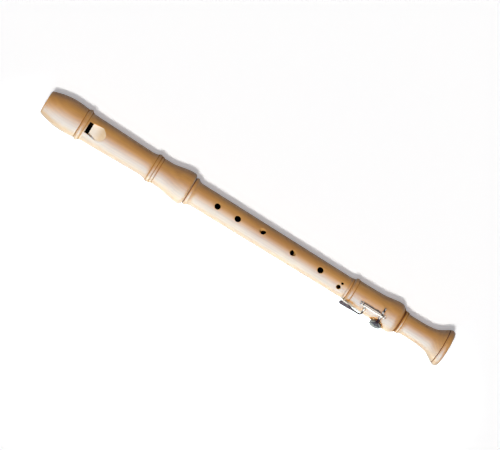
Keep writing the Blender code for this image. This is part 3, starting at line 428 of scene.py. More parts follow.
# The grain's marks: how close they lie along and across the fibres, and how much each darkens the wood.
WANDERS = (3, 22, 22)
RING_WANDER = 0.006
RING_WIDTH = 0.0034
RING_SHARE = 0.10
FIBRES = (14, 700, 700)
FIBRE_SHARE = 0.9
FIBRE_HEIGHT = 0.4
CLOUDS = (16, 55, 55)
CLOUD_SHARE = 1.1
FLECKS = (260, 1900, 1900)
FLECK_EDGE = (0.60, 0.72)
FLECK_SHARE = 0.16
UNEVENNESS = 0.20
RELIEF_HEIGHT = 0.0002


def surface_place(tree):
    """Where each point of a surface lies in the frame, in metres."""
    return add_node(tree, "ShaderNodeTexCoord").outputs["Object"]


def axes(tree, vector):
    """The X, Y and Z of a vector."""
    return add_node(tree, "ShaderNodeSeparateXYZ", {0: vector}).outputs


def noise(tree, place, scale, detail=2.0, rough=0.5):
    """Noise between 0 and 1."""
    values = {"Vector": place, "Scale": scale, "Detail": detail, "Roughness": rough}
    return add_node(tree, "ShaderNodeTexNoise", values).outputs["Fac"]


def roughen(tree, shader, height, strength):
    """Gives a surface a fine relief."""
    bump = {"Height": height, "Strength": strength, "Distance": RELIEF_HEIGHT}
    tree.links.new(add_node(tree, "ShaderNodeBump", bump).outputs["Normal"], shader.inputs["Normal"])


def grain_group():
    """Maple: growth rings cut through by the turning, long fibres, soft clouds of colour and fine flecks."""
    group = bpy.data.node_groups.new("maple grain", "ShaderNodeTree")
    sockets = group.interface
    for name, kind in (
        ("Early Wood", "NodeSocketColor"),
        ("Late Wood", "NodeSocketColor"),
        ("Billet", "NodeSocketVector"),
        ("Contrast", "NodeSocketFloat"),
        ("Smoothness", "NodeSocketFloat"),
    ):
        sockets.new_socket(name, in_out="INPUT", socket_type=kind)
    for name, kind in (
        ("Colour", "NodeSocketColor"),
        ("Roughness", "NodeSocketFloat"),
        ("Height", "NodeSocketFloat"),
    ):
        sockets.new_socket(name, in_out="OUTPUT", socket_type=kind)
    given = add_node(group, "NodeGroupInput")
    moved = add_node(
        group, "ShaderNodeVectorMath", {0: surface_place(group), 1: given.outputs["Billet"]}, operation="ADD"
    )

    def stretched(scale, detail, rough=0.5):
        mapped = add_node(group, "ShaderNodeMapping", {"Vector": moved.outputs[0], "Scale": scale})
        return noise(group, mapped.outputs[0], 1.0, detail, rough)

    def sum_of(first, second):
        return calculate(group, "ADD", first, second)

    def product(first, second):
        return calculate(group, "MULTIPLY", first, second)

    across = add_node(group, "ShaderNodeMapping", {"Vector": moved.outputs[0], "Scale": (0, 1, 1)})
    pith = add_node(group, "ShaderNodeVectorMath", {0: across.outputs[0]}, operation="LENGTH")
    wander = product(stretched(WANDERS, 2.0), RING_WANDER)
    rings = calculate(group, "SINE", product(sum_of(pith.outputs["Value"], wander), 2 * math.pi / RING_WIDTH))
    fibres = stretched(FIBRES, 3.0, 0.6)
    clouds = stretched(CLOUDS, 3.0)
    flecks = carry(group, stretched(FLECKS, 1.0), FLECK_EDGE)
    mottle = sum_of(product(rings, RING_SHARE), product(fibres, FIBRE_SHARE))
    mottle = sum_of(mottle, product(clouds, CLOUD_SHARE))
    mottle = product(calculate(group, "SUBTRACT", mottle, 1.0), given.outputs["Contrast"])
    mottle = sum_of(sum_of(mottle, 0.5), product(flecks, FLECK_SHARE))
    colour = blend(group, mottle, given.outputs["Early Wood"], given.outputs["Late Wood"])
    uneven = product(calculate(group, "SUBTRACT", clouds, 0.5), UNEVENNESS)
    roughness = sum_of(given.outputs["Smoothness"], uneven)
    height = calculate(group, "SUBTRACT", product(fibres, FIBRE_HEIGHT), flecks)
    add_node(group, "NodeGroupOutput", {"Colour": colour, "Roughness": roughness, "Height": height})
    return group


maple_grain = grain_group()


def maple(name, colours, billet, contrast, roughness, relief, constants):
    """A maple surface. The billet is a shift that gives each joint its own run of grain."""
    material, tree, shader = new_material(name, constants)
    grain = add_node(
        tree, "ShaderNodeGroup",
        node_tree=maple_grain,
        values={"Early Wood": colours[0], "Late Wood": colours[1], "Billet": billet, "Contrast": contrast,
                "Smoothness": roughness},
    )
    tree.links.new(grain.outputs["Colour"], shader.inputs["Base Color"])
    tree.links.new(grain.outputs["Roughness"], shader.inputs["Roughness"])
    roughen(tree, shader, grain.outputs["Height"], relief)
    return material


def varnished(joint, billet):
    """The joint's varnished maple, from its own billet."""
    return maple(
        f"varnished maple of the {joint}", MAPLE, billet, MAPLE_CONTRAST, MAPLE_ROUGHNESS, MAPLE_RELIEF,
        VARNISH,
    )


head_varnish = varnished("head", HEAD_BILLET)
raw_maple = maple("raw maple of the window", RAW_MAPLE, HEAD_BILLET, 1.0, 0.60, 0.2, DULL)
# The bore's oiled maple is painted near black, as painted shade.
shaded_bore_maple = maple("oiled maple of the bore, painted near black as shade", BORE_SHADE_MAPLE, LINE_BILLET, 1.0, 0.5, 0.2, MATT)
pale_groove_shade = maple("painted shade in a fine groove", PALE_GROOVE_SHADE, LINE_BILLET, 1.0, 0.6, 0.1, DULL)
dark_groove_shade = maple("painted shade in a deep groove", DARK_GROOVE_SHADE, LINE_BILLET, 1.0, 0.6, 0.1, DULL)
ramp_maple = maple("raw maple paler towards the edge", RAMP_MAPLE, HEAD_BILLET, 1.0, 0.60, 0.2, DULL)
tree = ramp_maple.node_tree
shader = tree.nodes["Principled BSDF"]
grain = shader.inputs["Base Color"].links[0].from_socket
# Painted highlight: the ramp's maple pales towards the edge.
highlight_span = [to_metres((along, 0, 0))[0] for along in PAINTED_HIGHLIGHT_SPAN]
near_edge = carry(tree, axes(tree, surface_place(tree))["X"], highlight_span)
highlighted = blend(tree, near_edge, grain, PAINTED_HIGHLIGHT_MAPLE)
# Painted bounce light on the walls that face sideways.
facing = add_node(tree, "ShaderNodeNewGeometry").outputs["True Normal"]
wall = carry(tree, calculate(tree, "ABSOLUTE", axes(tree, facing)["Y"]), WALL_TILT)
tree.links.new(blend(tree, wall, highlighted, WALL_PAINTED_BOUNCE), shader.inputs["Base Color"])


def fit(piece, node, body, light):
    """Puts a finished piece in the place of its CAD node, and under its own lights."""
    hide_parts(node)
    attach(piece, body)
    lit[light].objects.link(piece)


def beak_drum():
    """The drum whose side leaves the hollow curve under the beak."""
    depth = BEAK_SWELL - BEAK_DROP
    radius = (BEAK_LENGTH**2 + depth**2) / (2 * depth)
    turns = [2 * math.pi * side / DRUM_SIDES for side in range(DRUM_SIDES)]
    circle = [(radius * math.sin(turn), -BEAK_DROP - radius + radius * math.cos(turn)) for turn in turns]
    ends = (DRUM_HALF, -DRUM_HALF)
    return skin("beak drum", [[(along, across, up) for along, up in circle] for across in ends])


def paint_groove_shade(piece, material, bands):
    """Gives the faces in bands along the instrument a material of painted shade for a groove."""
    piece.data.materials.append(material)
    for face in piece.data.polygons:
        along = along_from_tip(face.center.x)
        if any(low < along < high for low, high in bands):
            face.material_index = len(piece.data.materials) - 1


head_points = outline(HEAD_OUTLINE)
head = lathe("maple_head_joint", head_points)
head.data.materials.append(head_varnish)
paint_groove_shade(head, pale_groove_shade, HEAD_LINES)
carve(head, beak_drum(), head_varnish)
bore = [
    (BEYOND_HEAD[0], HEAD_BORE), (SOCKET_FLOOR, HEAD_BORE), (SOCKET_FLOOR, SOCKET_RADIUS),
    (BEYOND_HEAD[1], SOCKET_RADIUS),
]
carve(head, lathe("head bore", bore), shaded_bore_maple)
for name, cut, material in (
    ("windway", WINDWAY_ROOF, shaded_bore_maple),
    ("window", ((WINDOW_START, WINDOW_CUT_TOP), (WINDOW_END, WINDOW_CUT_TOP)), raw_maple),
):
    carve(head, wedge(name, *((along, WINDWAY_HALF, CUT_FLOOR, up) for along, up in cut)), material)
ramp_slope = (RAMP_SURFACE - EDGE_UP) / (RAMP_END - WINDOW_END)
carve(
    head,
    wedge(
        "ramp",
        (WINDOW_END - RAMP_LEAD, WINDWAY_HALF, EDGE_UP - RAMP_LEAD * ramp_slope, RAMP_CUT_TOP),
        (RAMP_END + RAMP_RUNOUT, RAMP_END_HALF, RAMP_SURFACE + RAMP_RUNOUT * ramp_slope, RAMP_CUT_TOP),
        RAMP_FLARE,
    ),
    ramp_maple,
)
carve(head, wedge("undercut", *((along, WINDWAY_HALF, CUT_FLOOR, up) for along, up in UNDERCUT)), shaded_bore_maple)
smooth(head)
fit(head, "head_joint", "head", "wood")


# Block
# A plug of red-brown cedar pushed into the beak. A raised bed along its top is the floor of the windway, and
# the beak's hollow curve is cut through both.
BLOCK_FIT = 0.2
BED_TOP = (12.4, 12.3)
CEDAR_DARK = (0.20, 0.07, 0.03, 1)
CEDAR_PALE = (0.42, 0.19, 0.09, 1)
CEDAR_FIBRES = (20, 500, 900)

cedar, tree, shader = new_material("planed cedar", {"Roughness": 0.7})
mapped = add_node(tree, "ShaderNodeMapping", {"Vector": surface_place(tree), "Scale": CEDAR_FIBRES})
fibres = noise(tree, mapped.outputs[0], 1.0, 4.0)
ramp = add_node(tree, "ShaderNodeValToRGB", {"Fac": fibres})
ramp.color_ramp.elements[0].position = 0.3
ramp.color_ramp.elements[0].color = CEDAR_DARK
ramp.color_ramp.elements[1].position = 0.7
ramp.color_ramp.elements[1].color = CEDAR_PALE
tree.links.new(ramp.outputs["Color"], shader.inputs["Base Color"])
roughen(tree, shader, fibres, 0.3)

block_radius = HEAD_BORE - BLOCK_FIT
bed_half = WINDWAY_HALF - BLOCK_FIT
block = lathe("cedar_block", [(0, block_radius), (WINDOW_START, block_radius)])
block.data.materials.append(cedar)
bed = wedge("bed", (0, bed_half, 0, BED_TOP[0]), (WINDOW_START, bed_half, 0, BED_TOP[1]))
carve(block, bed, cedar, "UNION")
carve(block, beak_drum(), cedar)
smooth(block)
fit(block, "block", "head", "wood")


# Middle joint
# A second maple billet with a tenon at each end, bored with a taper. The seven finger holes and the thumb
# hole are drilled after turning, the third and fourth at a slant, and their rims are eased with a scraper.
MIDDLE_OUTLINE = (
    (203.1, 14.6, 45, 45),
    (203.9, 15.4, 45, 0),
    (207.3, 15.4, 0, -90),
    (207.3, 14.0, -90, 0),
    (227.4, 14.0, 0, 90),
    (227.4, 15.4, 90, 0),
    (231.6, 15.4, 0, 90),
    (231.6, 19.4, 90, 55),
    (235.0, 21.3, 0, 0),
    (237.2, 20.2, -50, -48),
    (243.1, 17.45, 0, -0.4),
    (487.7, 15.85, -0.4, -90),
    (487.7, 12.9, -90, 0),
    (491.9, 12.9, 0, -90),
    (491.9, 11.5, -90, 0),
    (505.5, 11.5, 0, 90),
    (505.5, 12.9, 90, 0),
    (508.9, 12.9, 0, -45),
    (509.7, 12.1, -45, -90),
)
MIDDLE_LINES = ((231.4, 232.8),)
MIDDLE_BORE = ((509.7, 8.6), (203.1, 12.0))
MIDDLE_BILLET = (0.9, 0.050, 0.071)
HOLE_LINE = -7.0
HOLE_INNER_END = 3.0
RIM_ROUNDING = 0.55
RIM_CLEARANCE = 1.2
RIM_LIFT = 0.12
RIM_BENDS = (75, 55, 35, 15, 0)
DRILL_PROUD = 2.5
# Painted shade inside the finger holes: their walls go to near black between these distances from the bore.
HOLE_SHADE_DEPTHS = (0.0105, 0.0128)
HOLE_WALL = ((0.66, 0.38, 0.14, 1), (0.52, 0.28, 0.09, 1))
HOLE_SHADE_COLOUR = (0.006, 0.003, 0.002, 1)
# Each hole: along, radius, its angle from the line of the holes, and the lean of its mouth towards the beak.
FINGER_HOLES = (
    (258.0, 3.30, 180.0, 0.0),
    (276.0, 4.35, 0.0, 0.0),
    (308.6, 4.50, 0.0, 0.0),
    (346.7, 4.0, -12.2, 32.0),
    (398.1, 3.90, 0.0, -28.0),
    (442.7, 4.40, 0.0, 0.0),
    (476.0, 3.10, 24.7, 0.0),
    (478.3, 1.85, -1.5, 0.0),
)


def radius_at(points, along):
    """The outside radius of a turned outline at a place along it."""
    for (x0, r0), (x1, r1) in zip(points, points[1:]):
        if x0 <= along <= x1 and x1 > x0:
            return r0 + (r1 - r0) * (along - x0) / (x1 - x0)
    raise ValueError(f"nothing at {along}")


def under_surface(points, start, direction, depth):
    """The place on the line from start, near the bore, that lies depth under the turned surface."""
    place = start
    for _ in range(4):
        wanted = radius_at(points, place.x) - depth
        flat = Vector((0, start.y, start.z))
        heading = Vector((0, direction.y, direction.z))
        half = flat.dot(heading)
        square = heading.length_squared
        reach = (-half + math.sqrt(half**2 - square * (flat.length_squared - wanted**2))) / square
        place = start + direction * reach
    return place


def drill(name, points, along, angle, slant, radius, rounding, floor, sides=48):
    """A drill that leaves a rounded rim where it meets the turned surface. Its floor is a list of the
    (radius, height) that its end runs through, counted from the bore along its own axis."""
    turn = math.radians(angle)
    lean = math.radians(slant)
    outward = Vector((0, -math.sin(turn), math.cos(turn)))
    aside = Vector((0, math.cos(turn), math.sin(turn)))
    direction = outward * math.cos(lean) - Vector((1, 0, 0)) * math.sin(lean)
    forward = aside.cross(direction)
    surface = radius_at(points, along)
    centre = Vector((along, 0, 0)) + outward * surface - direction * surface / math.cos(lean)
    shank = radius + rounding * RIM_CLEARANCE
    places = [(shank, -DRILL_PROUD), (shank, -RIM_LIFT * rounding)]
    for step in RIM_BENDS:
        bend = math.radians(step)
        places.append((radius + rounding * (1 - math.cos(bend)), rounding * (1 - math.sin(bend))))
    rings = []
    spokes = [2 * math.pi * side / sides for side in range(sides)]
    for reach, depth in places:
        starts = [centre + (forward * math.cos(spoke) + aside * math.sin(spoke)) * reach for spoke in spokes]
        rings.append([under_surface(points, start, direction, depth) for start in starts])
    for reach, height in floor:
        starts = [centre + (forward * math.cos(spoke) + aside * math.sin(spoke)) * reach for spoke in spokes]
        rings.append([start + direction * height for start in starts])
    return skin(name, rings[::-1])


middle_varnish = varnished("middle", MIDDLE_BILLET)
middle_points = outline(MIDDLE_OUTLINE)
middle = lathe("maple_middle_joint", middle_points + list(MIDDLE_BORE), closed=True)
middle.data.materials.append(middle_varnish)
paint_groove_shade(middle, dark_groove_shade, MIDDLE_LINES)
middle.data.materials.append(shaded_bore_maple)
bore_wall = len(middle_points) * TURNING_SIDES
for face in middle.data.polygons[bore_wall:bore_wall + TURNING_SIDES]:
    face.material_index = len(middle.data.materials) - 1
# Painted shade: the finger holes' walls darken to near black towards the bore.
hole_maple, tree, shader = new_material("maple of the finger holes", {"Roughness": 0.6, **MATT})
place = surface_place(tree)
from_bore = add_node(tree, "ShaderNodeVectorMath", {0: place, 1: (0, 0, -bore_height)}, operation="ADD")
from_bore = add_node(
    tree, "ShaderNodeVectorMath", {0: from_bore.outputs[0], 1: (0, 1, 1)}, operation="MULTIPLY"
)
from_bore = add_node(tree, "ShaderNodeVectorMath", {0: from_bore.outputs[0]}, operation="LENGTH")
shallow = carry(tree, from_bore.outputs["Value"], HOLE_SHADE_DEPTHS)
wall_tone = blend(tree, noise(tree, place, 1500.0), *HOLE_WALL)
tree.links.new(blend(tree, shallow, HOLE_SHADE_COLOUR, wall_tone), shader.inputs["Base Color"])
for along, radius, angle, slant in FINGER_HOLES:
    floor = [(radius, HOLE_INNER_END)]
    hole = drill("finger hole", middle_points, along, HOLE_LINE + angle, slant, radius, RIM_ROUNDING, floor)
    carve(middle, hole, hole_maple)
smooth(middle)
fit(middle, "middle_joint", "middle", "wood")


# Tenon corks
# A sleeve of sheet cork, glued into the recess of each of the middle joint's tenons and greased, so that the
# joints push together and seal. The key's stop tail ends in a bumper cut from the same cork.
CORK_DARK = (0.16, 0.08, 0.035, 1)
CORK_PALE = (0.48, 0.29, 0.14, 1)
CORK_CELLS = 900.0
CORK_SPECKS = 350.0

cork, tree, shader = new_material("sheet cork", {"Roughness": 0.85})
place = surface_place(tree)
cells = add_node(tree, "ShaderNodeTexVoronoi", {"Vector": place, "Scale": CORK_CELLS})
tone = add_node(tree, "ShaderNodeValToRGB", {"Fac": noise(tree, place, CORK_SPECKS, 3.0)})
tone.color_ramp.elements[0].position = 0.38
tone.color_ramp.elements[0].color = CORK_DARK
tone.color_ramp.elements[1].position = 0.55
tone.color_ramp.elements[1].color = CORK_PALE
tree.links.new(tone.outputs["Color"], shader.inputs["Base Color"])
roughen(tree, shader, cells.outputs["Distance"], 0.5)


def dress(node, material):
    """Gives a CAD node its material."""
    slots = frame["nodes"][node].data.materials
    slots.clear()
    slots.append(material)


for node in ("upper_tenon_cork", "lower_tenon_cork", "stop_cork"):
    dress(node, cork)


# Foot joint
# The third maple billet: socket, swelling for the key, narrow stem and flared bell. The key hole sits in a
# flat-bottomed recess with a raised seat, and each post stands in a small counterbore. Where the key or the
# wood's own hollows close in, painted shade makes the varnished wood darker and browner and thins its coat.
FOOT_OUTLINE = (
    (488.0, 16.1, 25, 25),
    (490.8, 16.9, 0, -52),
    (491.3, 16.2, -52, 52),
    (491.9, 16.9, 52, 42),
    (494.4, 19.8, 20, 17),
    (497.8, 19.45, -27, -52),
    (498.3, 18.75, -52, 45),
    (498.9, 19.1, 30, -22),
    (501.0, 18.9, 0, 0),
    (538.0, 19.5, 3, 3.4),
    (564.5, 22.85, 0, 0),
    (574.3, 17.6, -42, -62),
    (574.9, 15.9, -62, 52),
    (575.4, 16.6, 52, 17),
    (581.0, 15.9, -31, -31),
    (584.8, 14.95, 0, 0),
    (600.0, 14.95, 0, 0),
    (620.5, 16.4, 7, 7),
    (640.3, 26.4, 36, -52),
    (640.9, 25.7, -52, 52),
    (641.4, 26.4, 52, 39),
    (645.4, 27.9, 0, 0),
    (650.0, 24.2, -90, -90),
)
# Bands of the foot that take painted groove shade, pale and deep.
FOOT_LINES = ((490.8, 491.9), (497.8, 498.9), (571.8, 576.5), (578.6, 579.5))
FOOT_DEEP_LINES = ((572.9, 575.7), (639.8, 641.8))
LOWER_SOCKET = 13.3
LOWER_SOCKET_FLOOR = 510.8
FOOT_BORE = (
    (480, LOWER_SOCKET), (LOWER_SOCKET_FLOOR, LOWER_SOCKET), (LOWER_SOCKET_FLOOR, 8.5), (636.0, 7.5),
    (650.0, 9.8), (652, 9.8),
)
KEY_HOLE_ANGLE = 72.0
RECESS = (10.9, 15.55)
RECESS_ROUNDING = 0.5
SEAT = ((7.3, 15.55), (6.7, 16.75), (5.2, 16.75), (4.6, 16.15), (4.6, 3.5))
HINGE_ANGLE = 18.0
COUNTERBORE = 2.8
COUNTERBORE_DEPTH = 0.9
COUNTERBORE_ROUNDING = 0.15
STEM_HOLE = 1.5
STEM_HOLE_DEPTH = 5.8
STEM_HOLE_ROUNDING = 0.01
FOOT_BILLET = (1.7, 0.066, 0.048)
# The recess is raw maple, painted lighter still against the shade of the cup: painted light.
RECESS_MAPLE = ((0.92, 0.56, 0.24, 1), (0.78, 0.45, 0.18, 1))
# Painted shade near the key and in hollows: its colour, its reach and the span over which it fades.
SHADED_MAPLE = (0.42, 0.16, 0.025, 1)
SHADE_REACH = 0.012
SHADE_EDGE = (0.35, 0.85)

foot_varnish = varnished("foot", FOOT_BILLET)
# The recess maple carries painted light.
recess_maple = maple("maple of the recess", RECESS_MAPLE, FOOT_BILLET, 1.0, 0.5, 0.2, DULL)
tree = foot_varnish.node_tree
shader = tree.nodes["Principled BSDF"]
colour = shader.inputs["Base Color"].links[0].from_socket
# Painted shade: the wood goes darker and browner, and its coat thinner, where other surfaces close in.
openness = add_node(tree, "ShaderNodeAmbientOcclusion", {"Distance": SHADE_REACH}, samples=8)
clear = carry(tree, openness.outputs["AO"], SHADE_EDGE)
tree.links.new(blend(tree, clear, SHADED_MAPLE, colour), shader.inputs["Base Color"])
tree.links.new(clear, shader.inputs["Coat Weight"])
foot_points = outline(FOOT_OUTLINE)
foot = lathe("maple_foot_joint", foot_points)
foot.data.materials.append(foot_varnish)
paint_groove_shade(foot, pale_groove_shade, FOOT_LINES)
paint_groove_shade(foot, dark_groove_shade, FOOT_DEEP_LINES)
carve(foot, lathe("foot bore", FOOT_BORE), shaded_bore_maple)
hinge = joints["key_press"]["pos_m"]
key_hole_along = along_from_tip(hinge[0])
floor = [RECESS, *SEAT]
recess = drill(
    "key recess", foot_points, key_hole_along, KEY_HOLE_ANGLE, 0, RECESS[0], RECESS_ROUNDING, floor, sides=96
)
carve(foot, recess, recess_maple)


def middle_of(node):
    """The place along the instrument of the middle of a CAD node."""
    low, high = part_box(node)
    return along_from_tip((low.x + high.x) / 2)


posts = {node: middle_of(node) for node in ("upper_post", "lower_post")}
for along in posts.values():
    seat = radius_at(foot_points, along) - COUNTERBORE_DEPTH
    for radius, rounding, depth, sides in (
        (COUNTERBORE, COUNTERBORE_ROUNDING, 0, 32), (STEM_HOLE, STEM_HOLE_ROUNDING, STEM_HOLE_DEPTH, 24)
    ):
        floor = [(radius, seat - depth)]
        hole = drill("post hole", foot_points, along, HINGE_ANGLE, 0, radius, rounding, floor, sides)
        carve(foot, hole, foot_varnish)
smooth(foot)
fit(foot, "foot_joint", "foot", "wood")


# Posts and hinge
# Two ball-headed posts of nickel silver, turned and silver plated, screwed into the foot joint. A blued steel
# screw runs through both balls and through the key's tube.
BALL = 2.0
BALL_STEPS = 16
NECK = 1.3
NECK_FOOT = (0.3, 0.25)
FLANGE = 2.5
FLANGE_HEIGHT = 0.6
FLANGE_SUNK = 0.6
FLANGE_EDGES = (0.1, 0.2)
POST_STEM = (1.2, 5.5)
AXIS_RADIUS = 0.01
SCREW_HOLE = (1.15, 5)
METAL_SIDES = 64
SILVER = (0.63, 0.58, 0.53, 1)
BLUED_STEEL = (0.20, 0.19, 0.19, 1)


def uneven_metal(name, colour, scale, detail, roughness):
    """A metal whose roughness wanders between two values."""
    material, tree, shader = new_material(name, {"Base Color": colour, "Metallic": 1.0})
    marks = noise(tree, surface_place(tree), scale, detail)
    tree.links.new(carry(tree, marks, end=roughness), shader.inputs["Roughness"])
    return material


silver = uneven_metal("silver plate", SILVER, 160.0, 3.0, (0.10, 0.24))
steel = uneven_metal("blued steel", BLUED_STEEL, 800.0, 2.0, (0.2, 0.4))


def turned_about(name, points, origin, axis, sides=METAL_SIDES, closed=False):
    """A turned piece about any axis. The points are (height, radius) along it from the origin."""
    aside = axis.orthogonal().normalized()
    forward = axis.cross(aside)
    spokes = [2 * math.pi * side / sides for side in range(sides)]
    rings = []
    for height, radius in points:
        middle_point = origin + axis * height
        rings.append([middle_point + (aside * math.cos(a) + forward * math.sin(a)) * radius for a in spokes])
    return skin(name, rings, closed)


def fit_key_work(piece, node, body, material, angle=40):
    """Puts a finished piece of the key work in the place of its CAD node."""
    piece.data.materials.clear()
    piece.data.materials.append(material)
    smooth(piece, angle)
    fit(piece, node, body, "key work")


hinge_across = hinge[1] * 1000
hinge_up = (hinge[2] - bore_height) * 1000
hinge_reach = math.hypot(hinge_across, hinge_up)
bore_line = Vector((1, 0, 0))
lean = math.radians(HINGE_ANGLE)
post_axis = Vector((0, -math.sin(lean), math.cos(lean)))
neck_turn = math.acos(NECK / BALL)
stem, stem_length = POST_STEM
lower_edge, upper_edge = FLANGE_EDGES
neck_flare, neck_foot = NECK_FOOT
screw_hole, screw_reach = SCREW_HOLE
for node, along in posts.items():
    seat = radius_at(foot_points, along) - FLANGE_SUNK
    top = seat + FLANGE_HEIGHT
    points = [
        (seat - stem_length, AXIS_RADIUS), (seat - stem_length, stem), (seat, stem),
        (seat, FLANGE - lower_edge), (seat + lower_edge, FLANGE), (top - upper_edge, FLANGE),
        (top, FLANGE - upper_edge), (top, NECK + neck_flare), (top + neck_foot, NECK),
    ]
    for step in range(BALL_STEPS + 1):
        bend = -neck_turn + (math.pi / 2 + neck_turn) * step / BALL_STEPS
        points.append((hinge_reach + BALL * math.sin(bend), max(AXIS_RADIUS, BALL * math.cos(bend))))
    post = turned_about(node + "_turned", points, Vector((along, 0, 0)), post_axis)
    ball = Vector((along, hinge_across, hinge_up))
    ends = [(-screw_reach, screw_hole), (screw_reach, screw_hole)]
    carve(post, turned_about("screw hole", ends, ball, bore_line, sides=32))
    fit_key_work(post, node, "foot", silver)
for node in ("hinge_screw", "needle_spring"):
    dress(node, steel)
    lit["key work"].objects.link(frame["nodes"][node])


# Key
# One tube, two levers, a touch plate and a pad cup, silver soldered together and plated. Below a bright upper
# edge, the touch plate and its lever are painted dark as a dark reflection, and painted shade darkens the cup
# round its lever and the pad lever next to the cup.
TUBE = (2.1, 1.2)
TUBE_BEVEL = 0.15
CUP_FACE = 21.25
CUP_RADIUS = 9.0
CUP_EDGE = 0.8
CUP_INSIDE = (8.1, 0.9)
CUP_FILLET = 0.3
CUP_DEPTH = 2.8
CUP_DOME = 0.5
CUP_APEX = -0.02
CUP_STEPS = 8
CUP_EDGE_STEPS = 6
KEY_OPENING = math.radians(-12)
KNOT_STEPS = 6
# The knots of a lever. PAD_ARM counts across the cup towards the hinge, and out from its face. TAIL and CATCH
# count across and up from the hinge. Half the width and half the thickness follow.
PAD_ARM = (
    (18.2, -6.5, 1.75, 0.75),
    (15.6, -3.7, 1.70, 0.75),
    (12.3, -0.7, 1.60, 0.72),
    (9.0, 1.0, 1.65, 0.70),
    (4.5, 1.0, 1.90, 0.66),
    (0.6, 1.0, 1.70, 0.60),
    (-1.4, 0.95, 0.60, 0.40),
)
TAIL = (
    (0.2, 2.3, 1.7, 0.6),
    (2.5, 1.7, 1.65, 0.55),
    (6.4, 0.3, 1.5, 0.5),
    (9.2, -0.2, 1.45, 0.5),
    (11.0, -0.2, 1.35, 0.5),
    (11.6, -0.2, 0.9, 0.4),
)
CATCH = (
    (1.0, -1.96, 0.8, 0.41),
    (2.6, -1.96, 0.8, 0.41),
    (3.9, -1.96, 0.8, 0.41),
    (4.2, -1.96, 0.6, 0.30),
)
PAD_ARM_CROWN = 0.55
TAIL_CROWN = 0.5
ROUND = 2.0
LEVER_BOXINESS = 3.0
CATCH_BOXINESS = 6.0


def threaded(knots, steps=KNOT_STEPS):
    """A smooth line that passes through every knot, however many numbers a knot has."""
    ends = [knots[0], *knots, knots[-1]]
    line = []
    for a, b, c, d in zip(ends, ends[1:], ends[2:], ends[3:]):
        for step in range(steps):
            t = step / steps
            line.append(tuple(
                0.5 * (2 * q + (r - p) * t + (2 * p - 5 * q + 4 * r - s) * t**2
                       + (3 * q - p - 3 * r + s) * t**3)
                for p, q, r, s in zip(a, b, c, d)
            ))
    return [*line, tuple(knots[-1])]


def bar(name, spine, boxiness, crown=0.0, sides=28):
    """A bar along a spine of (place, direction of its width, half width, half thickness). The crown raises a
    ridge along its outer side."""
    rings = []
    for count, (place, aside, half, thick) in enumerate(spine):
        before = spine[max(count - 1, 0)][0]
        after = spine[min(count + 1, len(spine) - 1)][0]
        outward = (after - before).normalized().cross(aside).normalized()
        points = []
        for side in range(sides):
            turn = 2 * math.pi * (side + 0.5) / sides
            cosine, sine = math.cos(turn), math.sin(turn)
            wide = math.copysign(abs(cosine) ** (2 / boxiness), cosine)
            high = math.copysign(abs(sine) ** (2 / boxiness), sine)
            high *= 1 - crown * abs(wide) if high > 0 else 1
            points.append(place + aside * wide * half + outward * high * thick)
        rings.append(points)
    return skin(name, rings)


def from_hinge(across, up, opened):
    """A place counted from the hinge's axis, turned open with the key if it is given for the closed one."""
    turn = KEY_OPENING if opened else 0
    return Vector((
        key_hole_along,
        hinge_across + across * math.cos(turn) - up * math.sin(turn),
        hinge_up + across * math.sin(turn) + up * math.cos(turn),
    ))


def from_cup(across, out):
    """A place of the open key, counted from the middle of the cup: across it towards the hinge, and out."""
    turn = math.radians(KEY_HOLE_ANGLE)
    reach = CUP_FACE + out
    y = -reach * math.sin(turn) + across * math.cos(turn)
    z = reach * math.cos(turn) + across * math.sin(turn)
    return from_hinge(y - hinge_across, z - hinge_up, True)


def round_bore(along, angle, radius):
    """A place by its angle round the bore and its distance from it."""
    turn = math.radians(angle)
    return Vector((along, -radius * math.sin(turn), radius * math.cos(turn)))


low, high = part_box("key_tube")
tube_ends = [along_from_tip(end) for end in (low.x, high.x)]
half_tube = (tube_ends[1] - tube_ends[0]) / 2
tube_middle = Vector((sum(tube_ends) / 2, hinge_across, hinge_up))
outside, through = TUBE
profile = [(-half_tube, through), (-half_tube, outside - TUBE_BEVEL), (-half_tube + TUBE_BEVEL, outside)]
profile += [(half_tube - TUBE_BEVEL, outside), (half_tube, outside - TUBE_BEVEL), (half_tube, through)]
tube = turned_about("hinge_tube", profile, tube_middle, bore_line, closed=True)
fit_key_work(tube, "key_tube", "key", silver)

spine = [(from_cup(across, out), bore_line, half, thick) for across, out, half, thick in threaded(PAD_ARM)]
pad_arm = bar("pad_lever", spine, LEVER_BOXINESS, crown=PAD_ARM_CROWN)
spine = [
    (from_hinge(across, up, False), bore_line, half, thick) for across, up, half, thick in threaded(TAIL)
]
tail = bar("tail_lever", spine, LEVER_BOXINESS, crown=TAIL_CROWN)
fit_key_work(tail, "stop_tail", "key", silver, 50)

TOUCH_ARM_ALONG = 522.1
TOUCH_ARM_RADIUS = 1.25
TOUCH_ARM_THINNING = 0.12
TOUCH_RADIUS = 25.2
TOUCH_LENGTH = 31.0
TOUCH_LAP = 3.9
TOUCH_ROUND_END = 4.8
TOUCH_WIDE = (55.0, 13.3)
TOUCH_ROOT = (59.0, 3.4)
TOUCH_NARROWS_FROM = 0.12
TOUCH_LEAST_WIDTH = 0.08
TOUCH_THICKNESS = 1.2
TOUCH_THIN_TIP = 0.3
TOUCH_DISH = 0.35
TOUCH_EDGE_THICKNESS = 0.01
TOUCH_EDGE_SQUARENESS = 8
TOUCH_STEPS = 60
TOUCH_STEP_BIAS = 1.6
TOUCH_SIDES = 16
